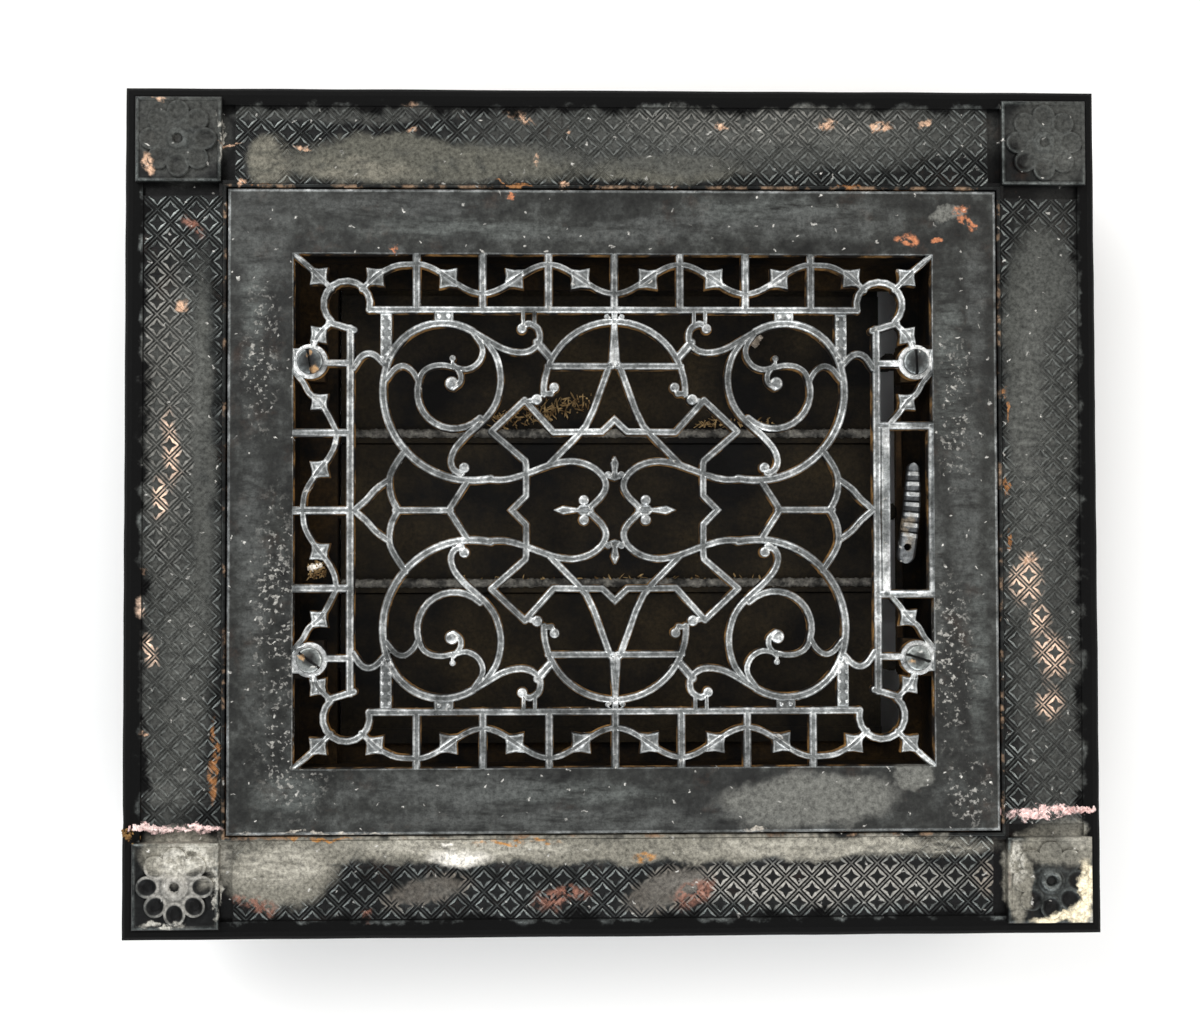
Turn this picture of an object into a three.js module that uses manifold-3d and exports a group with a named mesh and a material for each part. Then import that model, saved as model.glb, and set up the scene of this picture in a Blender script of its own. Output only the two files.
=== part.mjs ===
// Cast iron floor register: a border frame, a face with an openwork scroll grille set into it,
// and under the face a box of three louvers that a thumb lever opens and shuts.
// Millimetres, +Z up. The register lies face up and stands on the lower rim of its box, z = 0.
// X runs along the long side, Y across it, and both are zero at the middle of the grille.
import * as THREE from 'three';
import { mergeVertices } from 'three/addons/utils/BufferGeometryUtils.js';
import Module from 'manifold-3d';

const wasm = await Module();
wasm.setup();

// The grille's opening, a nominal ten by eight inches, and the face plate round it
const OPENING_LENGTH = 254;
const OPENING_WIDTH = 203.2;
const PLATE_MARGIN = 26;
const PLATE_THICKNESS = 4.5;
const PLATE_CHAMFER = 0.8;
const RIB_DEPTH = 5;
const RIB_SUNK = 0.5;
const RIB_WIDTH = 3.2;
const FINE_RIB_WIDTH = 2.8;
const STOUT_RIB_WIDTH = 3.6;
const POST_WIDTH = 5.2;
const TAB_WIDTH = 8.2;
const STEM_WIDTH = 2.2;
const SPUR_WIDTH = 4;
const BOSS_NECK_WIDTH = 11;

// The border frame
const BORDER_BAR = 42;
const BORDER_CLEARANCE = 0.8;
const LEDGE_REACH = 20.5;
const LEDGE_THICKNESS = 4;
const BORDER_RIM_HEIGHT = 3.6;
const BORDER_FALL = 2;
const BORDER_EDGE_DROP = 11.5;
const BORDER_FOOT = 6;
const BORDER_FOOT_RISE = 3;
const BORDER_SHOULDER = 1.5;
const SHELL_THICKNESS = 4.5;
const BLOCK_SIZE = 34;
const BLOCK_OUTSET = 19;
const BLOCK_RISE = 1;
const CHANNEL_WIDTH = 5;
const CHANNEL_DEPTH = 2;
const CHANNEL_END = 2.5;
const ROSETTE_LOBES = 8;
const ROSETTE_LOBE_RADIUS = 4.4;
const ROSETTE_LOBE_CIRCLE = 10.6;
const ROSETTE_RISE = 1.2;
const ROSETTE_HUB_RADIUS = 5;
const ROSETTE_EYE_RADIUS = 2.4;

// The valve box
const BOX_HEIGHT = 65.2;
const BOX_WALL = 2.5;
const BOX_SIDE_SETBACK = 1.5;
const SEAT_GAP = 0.3;
const EAR_WIDTH = 15;
const EAR_REACH = 14.5;
const EAR_HEIGHT = 12;
const STOP_THICKNESS = 3;
const STOP_LAP = 2.2;
const SHELF_THICKNESS = 5;

// The louvers, their cranks and the thumb lever
const LOUVER_COUNT = 3;
const LOUVER_END_GAP = 15;
const LOUVER_SIDE_GAP = 8.6;
const LOUVER_CLEARANCE = 1.2;
const LOUVER_LAP = 2;
const LOUVER_THICKNESS = 3;
const LIP_RISE = 1.4;
const LIP_WIDTH = 6;
const LAP_GAP = 0.6;
const PIVOT_DROP = 33.2;
const OPEN_ANGLE = 60;
const PIN_RADIUS = 2.5;
const PIN_ROOT = 6;
const PIN_SETBACK = 0.5;
const RUNNING_CLEARANCE = 0.4;
const CRANK_THROW = 11.5;
const CRANK_THICKNESS = 3;
const CRANK_RADIUS = 3.4;
const CRANK_ARM_WIDTH = 6;
const CRANK_CLEARANCE = 1;
const CRANK_PIN_RADIUS = 1.7;
const CRANK_PIN_PROUD = 1;
const LINK_THICKNESS = 2;
const LINK_HEIGHT = 5;
const LINK_EYE_RADIUS = 4.2;
const LINK_OVERHANG = 2;
const LINK_SIDE_CLEARANCE = 2.5;
const WEB_SETBACK = 5.7;
const WEB_LENGTH = 22;
const LEVER_WIDTH = 7.2;
const LEVER_LEAN = 3;
const LEVER_SPARE_ABOVE = 2.7;
const LEVER_SPARE_BELOW = 9.8;
const LEVER_THICKNESS = 3.2;
const LEVER_TOP_ABOVE_RIBS = 1.5;
const LEVER_HOLE_RADIUS = 1.4;
const LEVER_HOLE_SETBACK = 3;
const LEVER_RIB_PITCH = 4.1;
const LEVER_RIB_WIDTH = 1.9;
const LEVER_RIB_RISE = 0.7;
const LEVER_RIB_INSET = 0.6;

// The lever's slot in the grille, at the right: its two sides are counted from the link bar
const SLOT_INNER_SIDE = 7.6;
const SLOT_OUTER_SIDE = 7.1;
const SLOT_INNER_RIB_WIDTH = 4.2;
const SLOT_CLEARANCE = 0.5;

// The screws, set symmetrically about the middle
const SCREW_HEAD_RADIUS = 5.3;
const SCREW_HEAD_HEIGHT = 2.2;
const SCREW_SHANK_RADIUS = 2.2;
const SCREW_HOLE_RADIUS = 2.7;
const SCREW_SLOT_WIDTH = 1.4;
const SCREW_SLOT_DEPTH = 1.1;
const SCREW_END_PROUD = 2;
const BOSS_RADIUS = 7.2;

// How deep one form is sunk in the next where the casting is in one piece
const SUNK = 1;

// Facets on round work
const ROUND_SIDES = 14;
const SMALL_SIDES = 8;
const ARC_CHORD = 8.38;
const SMOOTHING = 0.35;
const TOLERANCE = 0.02;

// Levels and half sizes that follow from the values above
const PLATE_UNDER = BOX_HEIGHT + SEAT_GAP;
const PLATE_TOP = PLATE_UNDER + PLATE_THICKNESS;
const RIB_TOP = PLATE_TOP - RIB_SUNK;
const RIB_UNDER = RIB_TOP - RIB_DEPTH;
const HALF_LENGTH = OPENING_LENGTH / 2;
const HALF_WIDTH = OPENING_WIDTH / 2;
const REBATE_X = HALF_LENGTH + PLATE_MARGIN + BORDER_CLEARANCE;
const REBATE_Y = HALF_WIDTH + PLATE_MARGIN + BORDER_CLEARANCE;
const LEDGE_TOP = PLATE_UNDER - SEAT_GAP;
const RIM_TOP = LEDGE_TOP + BORDER_RIM_HEIGHT;
const BORDER_UNDER = RIM_TOP - BORDER_EDGE_DROP;
const WALL_X = HALF_LENGTH + BOX_SIDE_SETBACK;
const WALL_Y = HALF_WIDTH + BOX_SIDE_SETBACK;
const EAR_TOP = RIB_UNDER - SEAT_GAP;
const LOUVER_HALF = HALF_LENGTH - LOUVER_END_GAP;
const LOUVER_PITCH = (OPENING_WIDTH - 2 * LOUVER_SIDE_GAP) / LOUVER_COUNT;
const PIVOT_HEIGHT = BOX_HEIGHT - PIVOT_DROP;
const LINK_X = LOUVER_HALF + 2 * CRANK_CLEARANCE + CRANK_THICKNESS + LINK_THICKNESS / 2;
const QUARTERS = [[1, 1], [-1, 1], [-1, -1], [1, -1]];

// The scroll-work's drawing, in its own millimetres from the middle, is stretched to the opening.
// Its inner frame runs at frameX and frameY, edgeX and edgeY reach just into the plate, and
// middle lies just past an axis, so that the mirrored quarters join.
const drawing = {
  stretchX: HALF_LENGTH / 127,
  stretchY: HALF_WIDTH / 101.6,
  frameX: 104.8,
  frameY: 79.8,
  edgeX: 127.6,
  edgeY: 102.2,
  middle: -0.5,
  screw: [120.5, 59],
  slotEnd: 33.6,
};
const onBoard = (x, y) => new THREE.Vector2(x * drawing.stretchX, y * drawing.stretchY);
const screwPlace = onBoard(...drawing.screw);
const slotHalf = onBoard(0, drawing.slotEnd).y;

// Solids

function toSolid(geometry) {
  geometry.deleteAttribute('normal');
  geometry.deleteAttribute('uv');
  const merged = mergeVertices(geometry, 1e-4);
  return new wasm.Manifold(new wasm.Mesh({
    numProp: 3,
    vertProperties: merged.attributes.position.array,
    triVerts: new Uint32Array(merged.index.array),
  }));
}

function joined(solids) {
  return solids.reduce((whole, solid) => whole.add(solid));
}

function block(x0, x1, y0, y1, z0, z1) {
  const geometry = new THREE.BoxGeometry(x1 - x0, y1 - y0, z1 - z0);
  geometry.translate((x0 + x1) / 2, (y0 + y1) / 2, (z0 + z1) / 2);
  return toSolid(geometry);
}

function slab(outline, z0, z1) {
  const shape = outline.isShape ? outline : new THREE.Shape(outline);
  const geometry = new THREE.ExtrudeGeometry(shape, { depth: z1 - z0, bevelEnabled: false });
  geometry.translate(0, 0, z0);
  return toSolid(geometry);
}

function upright(x, y, radius, z0, z1, sides = ROUND_SIDES) {
  const geometry = new THREE.CylinderGeometry(radius, radius, z1 - z0, sides);
  geometry.rotateX(Math.PI / 2);
  geometry.translate(x, y, (z0 + z1) / 2);
  return toSolid(geometry);
}

function crosswise(x0, x1, y, z, radius, sides = ROUND_SIDES) {
  const geometry = new THREE.CylinderGeometry(radius, radius, x1 - x0, sides);
  geometry.rotateZ(Math.PI / 2);
  geometry.translate((x0 + x1) / 2, y, z);
  return toSolid(geometry);
}

// A frame with mitred corners: the section's points are [outward from the inner edge, z]
function mitredFrame(innerX, innerY, section) {
  const positions = [];
  const corner = ([sx, sy], [out, z]) => [sx * (innerX + out), sy * (innerY + out), z];
  QUARTERS.forEach((here, side) => {
    const next = QUARTERS[(side + 1) % QUARTERS.length];
    section.forEach((point, edge) => {
      const after = section[(edge + 1) % section.length];
      const [a, b] = [corner(here, point), corner(next, point)];
      const [c, d] = [corner(here, after), corner(next, after)];
      positions.push(...a, ...b, ...d, ...a, ...d, ...c);
    });
  });
  const geometry = new THREE.BufferGeometry();
  geometry.setAttribute('position', new THREE.Float32BufferAttribute(positions, 3));
  return toSolid(geometry);
}

function asMesh(name, solid, material) {
  const { vertProperties, triVerts } = solid.asOriginal().simplify(TOLERANCE).getMesh();
  const geometry = new THREE.BufferGeometry();
  geometry.setAttribute('position', new THREE.BufferAttribute(new Float32Array(vertProperties), 3));
  geometry.setIndex(new THREE.BufferAttribute(new Uint32Array(triVerts), 1));
  const mesh = new THREE.Mesh(geometry, material);
  mesh.name = name;
  return mesh;
}

// Centre lines of ribs, in board millimetres

const straight = (...points) => points.map(([x, y]) => onBoard(x, y));

function curve(steps, ...points) {
  const spline = new THREE.SplineCurve(points.map(([x, y]) => onBoard(x, y)));
  return spline.getPoints(steps);
}

// Degrees, counted anticlockwise from +X; the arc runs clockwise where the end is the smaller
function arc(x, y, radius, start, end) {
  const length = THREE.MathUtils.degToRad(Math.abs(end - start)) * radius;
  const steps = Math.max(3, Math.round(length / ARC_CHORD));
  return Array.from({ length: steps + 1 }, (_, i) => {
    const turn = THREE.MathUtils.degToRad(start + ((end - start) * i) / steps);
    return onBoard(x + radius * Math.cos(turn), y + radius * Math.sin(turn));
  });
}

// The outline of a rib: its centre line given width, with mitred bends
function ribOutline(line, width) {
  const sides = [[], []];
  line.forEach((point, i) => {
    const before = line[Math.max(i - 1, 0)];
    const after = line[Math.min(i + 1, line.length - 1)];
    const arriving = point.clone().sub(before).normalize();
    const leaving = after.clone().sub(point).normalize();
    const along = arriving.add(leaving).normalize();
    const cosine = Math.max(0.6, i > 0 && i < line.length - 1 ? along.dot(leaving) : 1);
    const offset = new THREE.Vector2(-along.y, along.x).multiplyScalar(width / 2 / cosine);
    sides[0].push(point.clone().add(offset));
    sides[1].unshift(point.clone().sub(offset));
  });
  return sides.flat();
}

const rib = (line, width = RIB_WIDTH) => ribOutline(line, width);

function circle(centre, radius, sides) {
  return Array.from({ length: sides }, (_, i) => {
    const turn = ((i + 0.5) * 2 * Math.PI) / sides;
    return new THREE.Vector2(radius * Math.cos(turn), radius * Math.sin(turn)).add(centre);
  });
}

// A round bead of the drawing stays round where the drawing is stretched
function bead(x, y, radius) {
  const stretch = Math.sqrt(drawing.stretchX * drawing.stretchY);
  return circle(onBoard(x, y), radius * stretch, SMALL_SIDES);
}

// A leaf of four points with hollow sides; (tipX, tipY) runs from its middle to a free tip
function leaf(x, y, tipX, tipY) {
  const tips = [[tipX, tipY], [-tipY, tipX], [-tipX, -tipY], [tipY, -tipX]];
  const hollow = 0.3;
  return tips.flatMap(([dx, dy], i) => {
    const [nx, ny] = tips[(i + 1) % tips.length];
    return [onBoard(x + dx, y + dy), onBoard(x + (dx + nx) * hollow, y + (dy + ny) * hollow)];
  });
}

// The grille, one quarter at a time, for x and y positive

function innerFrame() {
  const { frameX, frameY, middle } = drawing;
  return [
    rib(straight([97.4, frameY], [middle, frameY])),
    rib(straight([frameX, 72.2], [frameX, middle]), STOUT_RIB_WIDTH),
    rib(arc(106.2, 82, 9.2, 195, -50)),
    rib(straight([113.2, 74.6], [103.2, 71.6])),
  ];
}

function topVine() {
  const crest = 78.6;
  const spacing = 26.2;
  const [middle, swing] = [92.15, 5.85];
  const steps = 9;
  const wave = Array.from({ length: steps + 1 }, (_, i) => {
    const x = (crest * i) / steps;
    return onBoard(x, middle - swing * Math.cos((Math.PI * x) / spacing));
  });
  const ticks = [0, 1, 2, 3].map((n) => (
    rib(straight([n * spacing, drawing.edgeY], [n * spacing, drawing.frameY]), STOUT_RIB_WIDTH)
  ));
  return [
    ...ticks,
    rib(wave, FINE_RIB_WIDTH),
    rib(curve(4, [78, 98], [86, 97.5], [91, 95.5], [95, 92.8], [100.3, 87.8]), FINE_RIB_WIDTH),
    rib(curve(3, [127.2, 101.8], [121.5, 97], [117.3, 93], [112.2, 88]), FINE_RIB_WIDTH),
    leaf(13.5, 92.2, -4.1, 4.6),
    leaf(39.8, 92.3, 3.9, 4.5),
    leaf(66, 92.3, -3.9, 4.5),
    leaf(95, 92.8, 3.9, 4.1),
    leaf(117.3, 93, -3.9, 3.8),
  ];
}

function screwBoss() {
  return [
    circle(screwPlace, BOSS_RADIUS, ROUND_SIDES),
    rib(straight(drawing.screw, [drawing.edgeX, drawing.screw[1]]), BOSS_NECK_WIDTH),
    rib(straight([115.5, 58.5], [drawing.frameX, 58.5])),
    rib(curve(3, [112.2, 74.8], [117.3, 69.7], [119.5, 64]), FINE_RIB_WIDTH),
    leaf(117.3, 69.7, 3.5, 3.9),
  ];
}

function sideVineOuter(end) {
  return [
    rib(curve(5, [127.2, 55.5], [123.5, 51], [121, 46.5], [117, 43], [114, 38.8], end), FINE_RIB_WIDTH),
    leaf(117, 43, -3.9, 3.5),
  ];
}

function sideVineInner() {
  const { frameX, edgeX, middle } = drawing;
  return [
    rib(straight([edgeX, 30.8], [frameX, 30.8]), STOUT_RIB_WIDTH),
    rib(straight([edgeX, 0], [frameX, 0]), STOUT_RIB_WIDTH),
    rib(
      curve(7, [110, 30.8], [111, 25.5], [113.5, 20.5], [116.8, 16.3], [120.5, 11], [122.8, 6], [123.6, middle]),
      FINE_RIB_WIDTH,
    ),
    leaf(116.8, 16.3, 4.4, 3.4),
  ];
}

function cornerPosts() {
  return [
    rib(straight([90.6, 78.5], [90.6, 58]), POST_WIDTH),
    rib(curve(4, [103.6, 56.5], [100.5, 61], [97.3, 62.3], [94.2, 61], [91.2, 57.8])),
    rib(straight([67.8, drawing.frameY], [67.8, 74.6]), TAB_WIDTH),
  ];
}

function outerScroll() {
  const hook = curve(
    11, [36.8, 72.8], [33.8, 74.3], [30.3, 72], [29.9, 67], [33.5, 63.5], [38.5, 62.8],
    [44.5, 64.3], [51, 67.9], [57.1, 71.6],
  );
  const sweep = curve(
    13, [50.4, 12.3], [44, 12.1], [37.5, 13.6], [30, 16.4], [23.5, 18.6], [16.5, 19.4],
    [9.8, 17.6], [5, 13.8], [3.5, 9.6], [5.2, 5.6], [9.6, 1.2],
  );
  return [
    rib(hook),
    rib(arc(68.2, 51.6, 22.9, 121, 20.6), STOUT_RIB_WIDTH),
    rib(arc(56.5, 47.2, 35.4, 20.6, -102), STOUT_RIB_WIDTH),
    rib(sweep),
    bead(36.8, 72.3, 2.3),
    rib(straight([36.3, drawing.frameY], [36.3, 73]), STEM_WIDTH),
    rib(straight([31.8, drawing.frameY], [31.8, 73.5]), STEM_WIDTH),
    rib(straight([30.8, 66.8], [25.6, 60.8]), SPUR_WIDTH),
  ];
}

function innerScroll() {
  const s = curve(
    11, [52, 68.5], [47, 61], [45.2, 52], [46.8, 43.5], [50, 38], [54.5, 33.5], [59.5, 29],
    [63.6, 24], [65, 19.3], [63.6, 15.8], [60.6, 14.8],
  );
  const tendril = curve(
    11, [77.8, 51], [76, 55], [72.5, 57.2], [68, 57.7], [63.5, 56.8], [59, 56], [55, 57.8],
    [52.6, 61.5], [52.8, 65.5], [56, 70.3],
  );
  return [
    rib(s),
    bead(59.7, 16.8, 2.4),
    rib(arc(63.7, 47, 14.6, 18, -135)),
    rib(tendril, FINE_RIB_WIDTH),
    rib(curve(5, [77.8, 51], [80, 55], [83.5, 57.4], [87, 56.3], [90.5, 52]), FINE_RIB_WIDTH),
    rib(curve(3, [63.8, 57.5], [61.3, 54.5], [61.3, 51], [64, 48.6]), FINE_RIB_WIDTH),
    bead(64.6, 50.4, 3),
  ];
}

function centreArch() {
  const { frameY, middle } = drawing;
  const spire = [[middle, frameY], [1.6, frameY], [1.6, 72], [2.8, 56.5], [middle, 56.5]];
  return [
    rib(arc(0, 47, 28.2, 92, -2)),
    rib(straight([28.2, 46.6], [25.2, 46.2], [24.2, 48.6]), FINE_RIB_WIDTH),
    bead(24, 48.8, 2.3),
    bead(30.9, 44, 2.5),
    rib(straight([30.9, 44], [36, 43]), FINE_RIB_WIDTH),
    rib(straight([26.6, 57.3], [1, 57.3])),
    spire.map(([x, y]) => onBoard(x, y)),
    rib(straight([1.8, 58], [3.9, 52.4], [8.3, 40], [11.5, 33.3], [16, 28.3], [26.5, 17.6])),
  ];
}

function star() {
  const { middle } = drawing;
  return [
    rib(straight(
      [-0.6, 37], [5, 31.2], [24.3, 31], [35.7, 43.8], [49, 31.2], [35.5, 19.5], [35.2, 18],
      [35.2, 5.8], [41.4, middle],
    )),
    rib(curve(4, [82.8, 24.2], [87.3, 17.5], [89.3, 12], [88.4, 5], [85.6, middle])),
    rib(curve(3, [89.3, 12.2], [94.5, 8.5], [98.5, 4], [104, middle])),
    rib(straight([87, 0], [65, 0])),
    rib(straight([66.2, middle], [58.1, 12])),
  ];
}

function medallion() {
  const { middle } = drawing;
  const petal = [
    [8, middle], [8, 1.2], [10.8, 2.4], [13.8, 2.4], [15, 1.1], [20.6, 2], [24.6, 0.3], [24.6, middle],
  ];
  const bud = [[middle, 11], [2.8, 12.2], [1.4, 15.4], [2, 18.6], [0.6, 21.6], [middle, 21.6]];
  return [
    petal.map(([x, y]) => onBoard(x, y)),
    bead(12.3, 3.9, 2.4),
    bud.map(([x, y]) => onBoard(x, y)),
    bead(2.6, 14, 1.7),
  ];
}

// The flat ribs round the lever's slot, which takes the place of the vine at the right
function leverSlot() {
  const left = onBoard(drawing.frameX, 0).x;
  const right = onBoard(drawing.edgeX, 0).x;
  const inner = LINK_X - SLOT_INNER_SIDE - SLOT_INNER_RIB_WIDTH / 2;
  const strip = right - LINK_X - SLOT_OUTER_SIDE + SUNK / 2;
  const outer = LINK_X + SLOT_OUTER_SIDE + strip / 2;
  const line = (...points) => points.map(([x, y]) => new THREE.Vector2(x, y));
  return [
    rib(line([right, slotHalf], [left, slotHalf]), STOUT_RIB_WIDTH),
    rib(line([right, -slotHalf], [left, -slotHalf]), STOUT_RIB_WIDTH),
    rib(line([inner, slotHalf], [inner, -slotHalf]), SLOT_INNER_RIB_WIDTH),
    rib(line([outer, slotHalf], [outer, -slotHalf]), strip),
  ];
}

function registerFace() {
  const plate = mitredFrame(HALF_LENGTH, HALF_WIDTH, [
    [0, PLATE_UNDER],
    [PLATE_MARGIN, PLATE_UNDER],
    [PLATE_MARGIN, PLATE_TOP - PLATE_CHAMFER],
    [PLATE_MARGIN - PLATE_CHAMFER, PLATE_TOP],
    [0, PLATE_TOP],
  ]);
  const quarter = [
    innerFrame, topVine, screwBoss, cornerPosts, outerScroll, innerScroll, centreArch, star, medallion,
  ].flatMap((motif) => motif());
  const ribs = QUARTERS.flatMap(([sx, sy]) => {
    const side = sx > 0
      ? sideVineOuter([109.5, drawing.slotEnd])
      : [...sideVineOuter([110, 30.8]), ...sideVineInner()];
    return [...quarter, ...side].map((outline) => (
      slab(outline.map((p) => new THREE.Vector2(p.x * sx, p.y * sy)), RIB_UNDER, RIB_TOP)
    ));
  });
  const slotRibs = leverSlot().map((outline) => slab(outline, RIB_UNDER, RIB_TOP));
  let face = joined([plate, ...ribs, ...slotRibs]).asOriginal().simplify(SMOOTHING);
  QUARTERS.forEach(([sx, sy]) => {
    face = face.subtract(upright(
      sx * screwPlace.x, sy * screwPlace.y, SCREW_HOLE_RADIUS, RIB_UNDER - SUNK, PLATE_TOP + SUNK, SMALL_SIDES,
    ));
  });
  return face;
}

// The border frame

function rosetteOutline() {
  const perLobe = 4;
  return Array.from({ length: ROSETTE_LOBES * perLobe }, (_, i) => {
    const lobe = (Math.floor(i / perLobe) * 2 * Math.PI) / ROSETTE_LOBES;
    const across = lobe + THREE.MathUtils.degToRad(-80 + (160 * (i % perLobe)) / (perLobe - 1));
    return new THREE.Vector2(
      ROSETTE_LOBE_CIRCLE * Math.cos(lobe) + ROSETTE_LOBE_RADIUS * Math.cos(across),
      ROSETTE_LOBE_CIRCLE * Math.sin(lobe) + ROSETTE_LOBE_RADIUS * Math.sin(across),
    );
  });
}

function cornerBlock(sx, sy) {
  const x = sx * (REBATE_X + BLOCK_OUTSET);
  const y = sy * (REBATE_Y + BLOCK_OUTSET);
  const half = BLOCK_SIZE / 2;
  const top = RIM_TOP + BLOCK_RISE;
  const base = RIM_TOP - BORDER_FALL - CHANNEL_DEPTH - SUNK;
  const raised = block(x - half, x + half, y - half, y + half, base, top);
  const outline = rosetteOutline().map((p) => p.add(new THREE.Vector2(x, y)));
  const rosette = slab(outline, top - SUNK, top + ROSETTE_RISE);
  const hub = upright(x, y, ROSETTE_HUB_RADIUS, top - SUNK, top + 2 * ROSETTE_RISE);
  const eye = upright(x, y, ROSETTE_EYE_RADIUS, top + ROSETTE_RISE, top + 4 * ROSETTE_RISE, SMALL_SIDES);
  return joined([raised, rosette, hub]).subtract(eye);
}

function borderFrame() {
  const footInner = BORDER_BAR - BORDER_FOOT;
  const shoulder = footInner - BORDER_SHOULDER;
  const shoulderTop = RIM_TOP - BORDER_FALL;
  const edge = ([inShare, upShare]) => [
    BORDER_BAR - inShare * (BORDER_BAR - shoulder),
    BORDER_UNDER + upShare * (shoulderTop - BORDER_UNDER),
  ];
  let frame = mitredFrame(REBATE_X, REBATE_Y, [
    [-LEDGE_REACH, LEDGE_TOP - LEDGE_THICKNESS],
    [2 * SUNK, LEDGE_TOP - LEDGE_THICKNESS],
    [shoulder - BORDER_FOOT_RISE, shoulderTop - SHELL_THICKNESS],
    [footInner, BORDER_UNDER + BORDER_FOOT_RISE],
    [footInner, BORDER_UNDER],
    [BORDER_BAR, BORDER_UNDER],
    edge([0.05, 0.37]),
    edge([0.29, 0.74]),
    [shoulder, shoulderTop],
    [0, RIM_TOP],
    [0, LEDGE_TOP],
    [-LEDGE_REACH, LEDGE_TOP],
  ]);
  const blockSide = BLOCK_OUTSET - BLOCK_SIZE / 2;
  const across = [blockSide - CHANNEL_WIDTH, blockSide + SUNK / 2];
  const along = [blockSide + SUNK, BLOCK_OUTSET + BLOCK_SIZE / 2 - CHANNEL_END];
  const floor = shoulderTop - CHANNEL_DEPTH;
  QUARTERS.forEach(([sx, sy]) => {
    const channel = ([u0, u1], [v0, v1]) => {
      const xs = [sx * (REBATE_X + u0), sx * (REBATE_X + u1)].sort((a, b) => a - b);
      const ys = [sy * (REBATE_Y + v0), sy * (REBATE_Y + v1)].sort((a, b) => a - b);
      return block(...xs, ...ys, floor, RIM_TOP + SUNK);
    };
    frame = frame.subtract(channel(across, along)).subtract(channel(along, across));
    frame = frame.add(cornerBlock(sx, sy));
  });
  return frame;
}

// The valve box

function valveBox() {
  const [outerX, outerY] = [WALL_X + BOX_WALL, WALL_Y + BOX_WALL];
  const [sunkX, sunkY] = [outerX - SUNK, outerY - SUNK];
  const swept = (LOUVER_COUNT * LOUVER_PITCH) / 2 + LOUVER_LAP;
  const shelfLow = PIVOT_HEIGHT - SHELF_THICKNESS;
  const shelfHigh = PIVOT_HEIGHT + SHELF_THICKNESS;
  const louverSide = LOUVER_HALF + LOUVER_CLEARANCE;
  const linkSide = LINK_X + LINK_THICKNESS / 2 + LINK_SIDE_CLEARANCE;
  const stop = swept - STOP_LAP;
  const [over, under] = [PIVOT_HEIGHT + LAP_GAP / 2, PIVOT_HEIGHT - LAP_GAP / 2];
  let box = mitredFrame(WALL_X, WALL_Y, [[0, 0], [BOX_WALL, 0], [BOX_WALL, BOX_HEIGHT], [0, BOX_HEIGHT]]);
  const parts = [
    block(-sunkX, -louverSide, -sunkY, sunkY, shelfLow, shelfHigh),
    block(linkSide, sunkX, -sunkY, sunkY, shelfLow, shelfHigh),
    block(-sunkX, sunkX, stop, sunkY, over, over + STOP_THICKNESS),
    block(-sunkX, sunkX, -sunkY, -stop, under - STOP_THICKNESS, under),
  ];
  const holes = [];
  QUARTERS.forEach(([sx, sy]) => {
    const xs = [sx * (sunkX - EAR_REACH), sx * sunkX].sort((a, b) => a - b);
    const [x, y] = [sx * screwPlace.x, sy * screwPlace.y];
    parts.push(block(...xs, y - EAR_WIDTH / 2, y + EAR_WIDTH / 2, EAR_TOP - EAR_HEIGHT, EAR_TOP));
    holes.push(upright(
      x, y, SCREW_HOLE_RADIUS, EAR_TOP - EAR_HEIGHT - SUNK, EAR_TOP + SUNK, SMALL_SIDES,
    ));
  });
  louverCentres().forEach((y) => {
    holes.push(crosswise(
      -outerX - SUNK, outerX + SUNK, y, PIVOT_HEIGHT, PIN_RADIUS + RUNNING_CLEARANCE,
    ));
  });
  box = joined([box, ...parts]);
  return holes.reduce((solid, hole) => solid.subtract(hole), box);
}

// The louvers

function louverCentres() {
  return Array.from({ length: LOUVER_COUNT }, (_, i) => ((LOUVER_COUNT - 1) / 2 - i) * LOUVER_PITCH);
}

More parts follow.
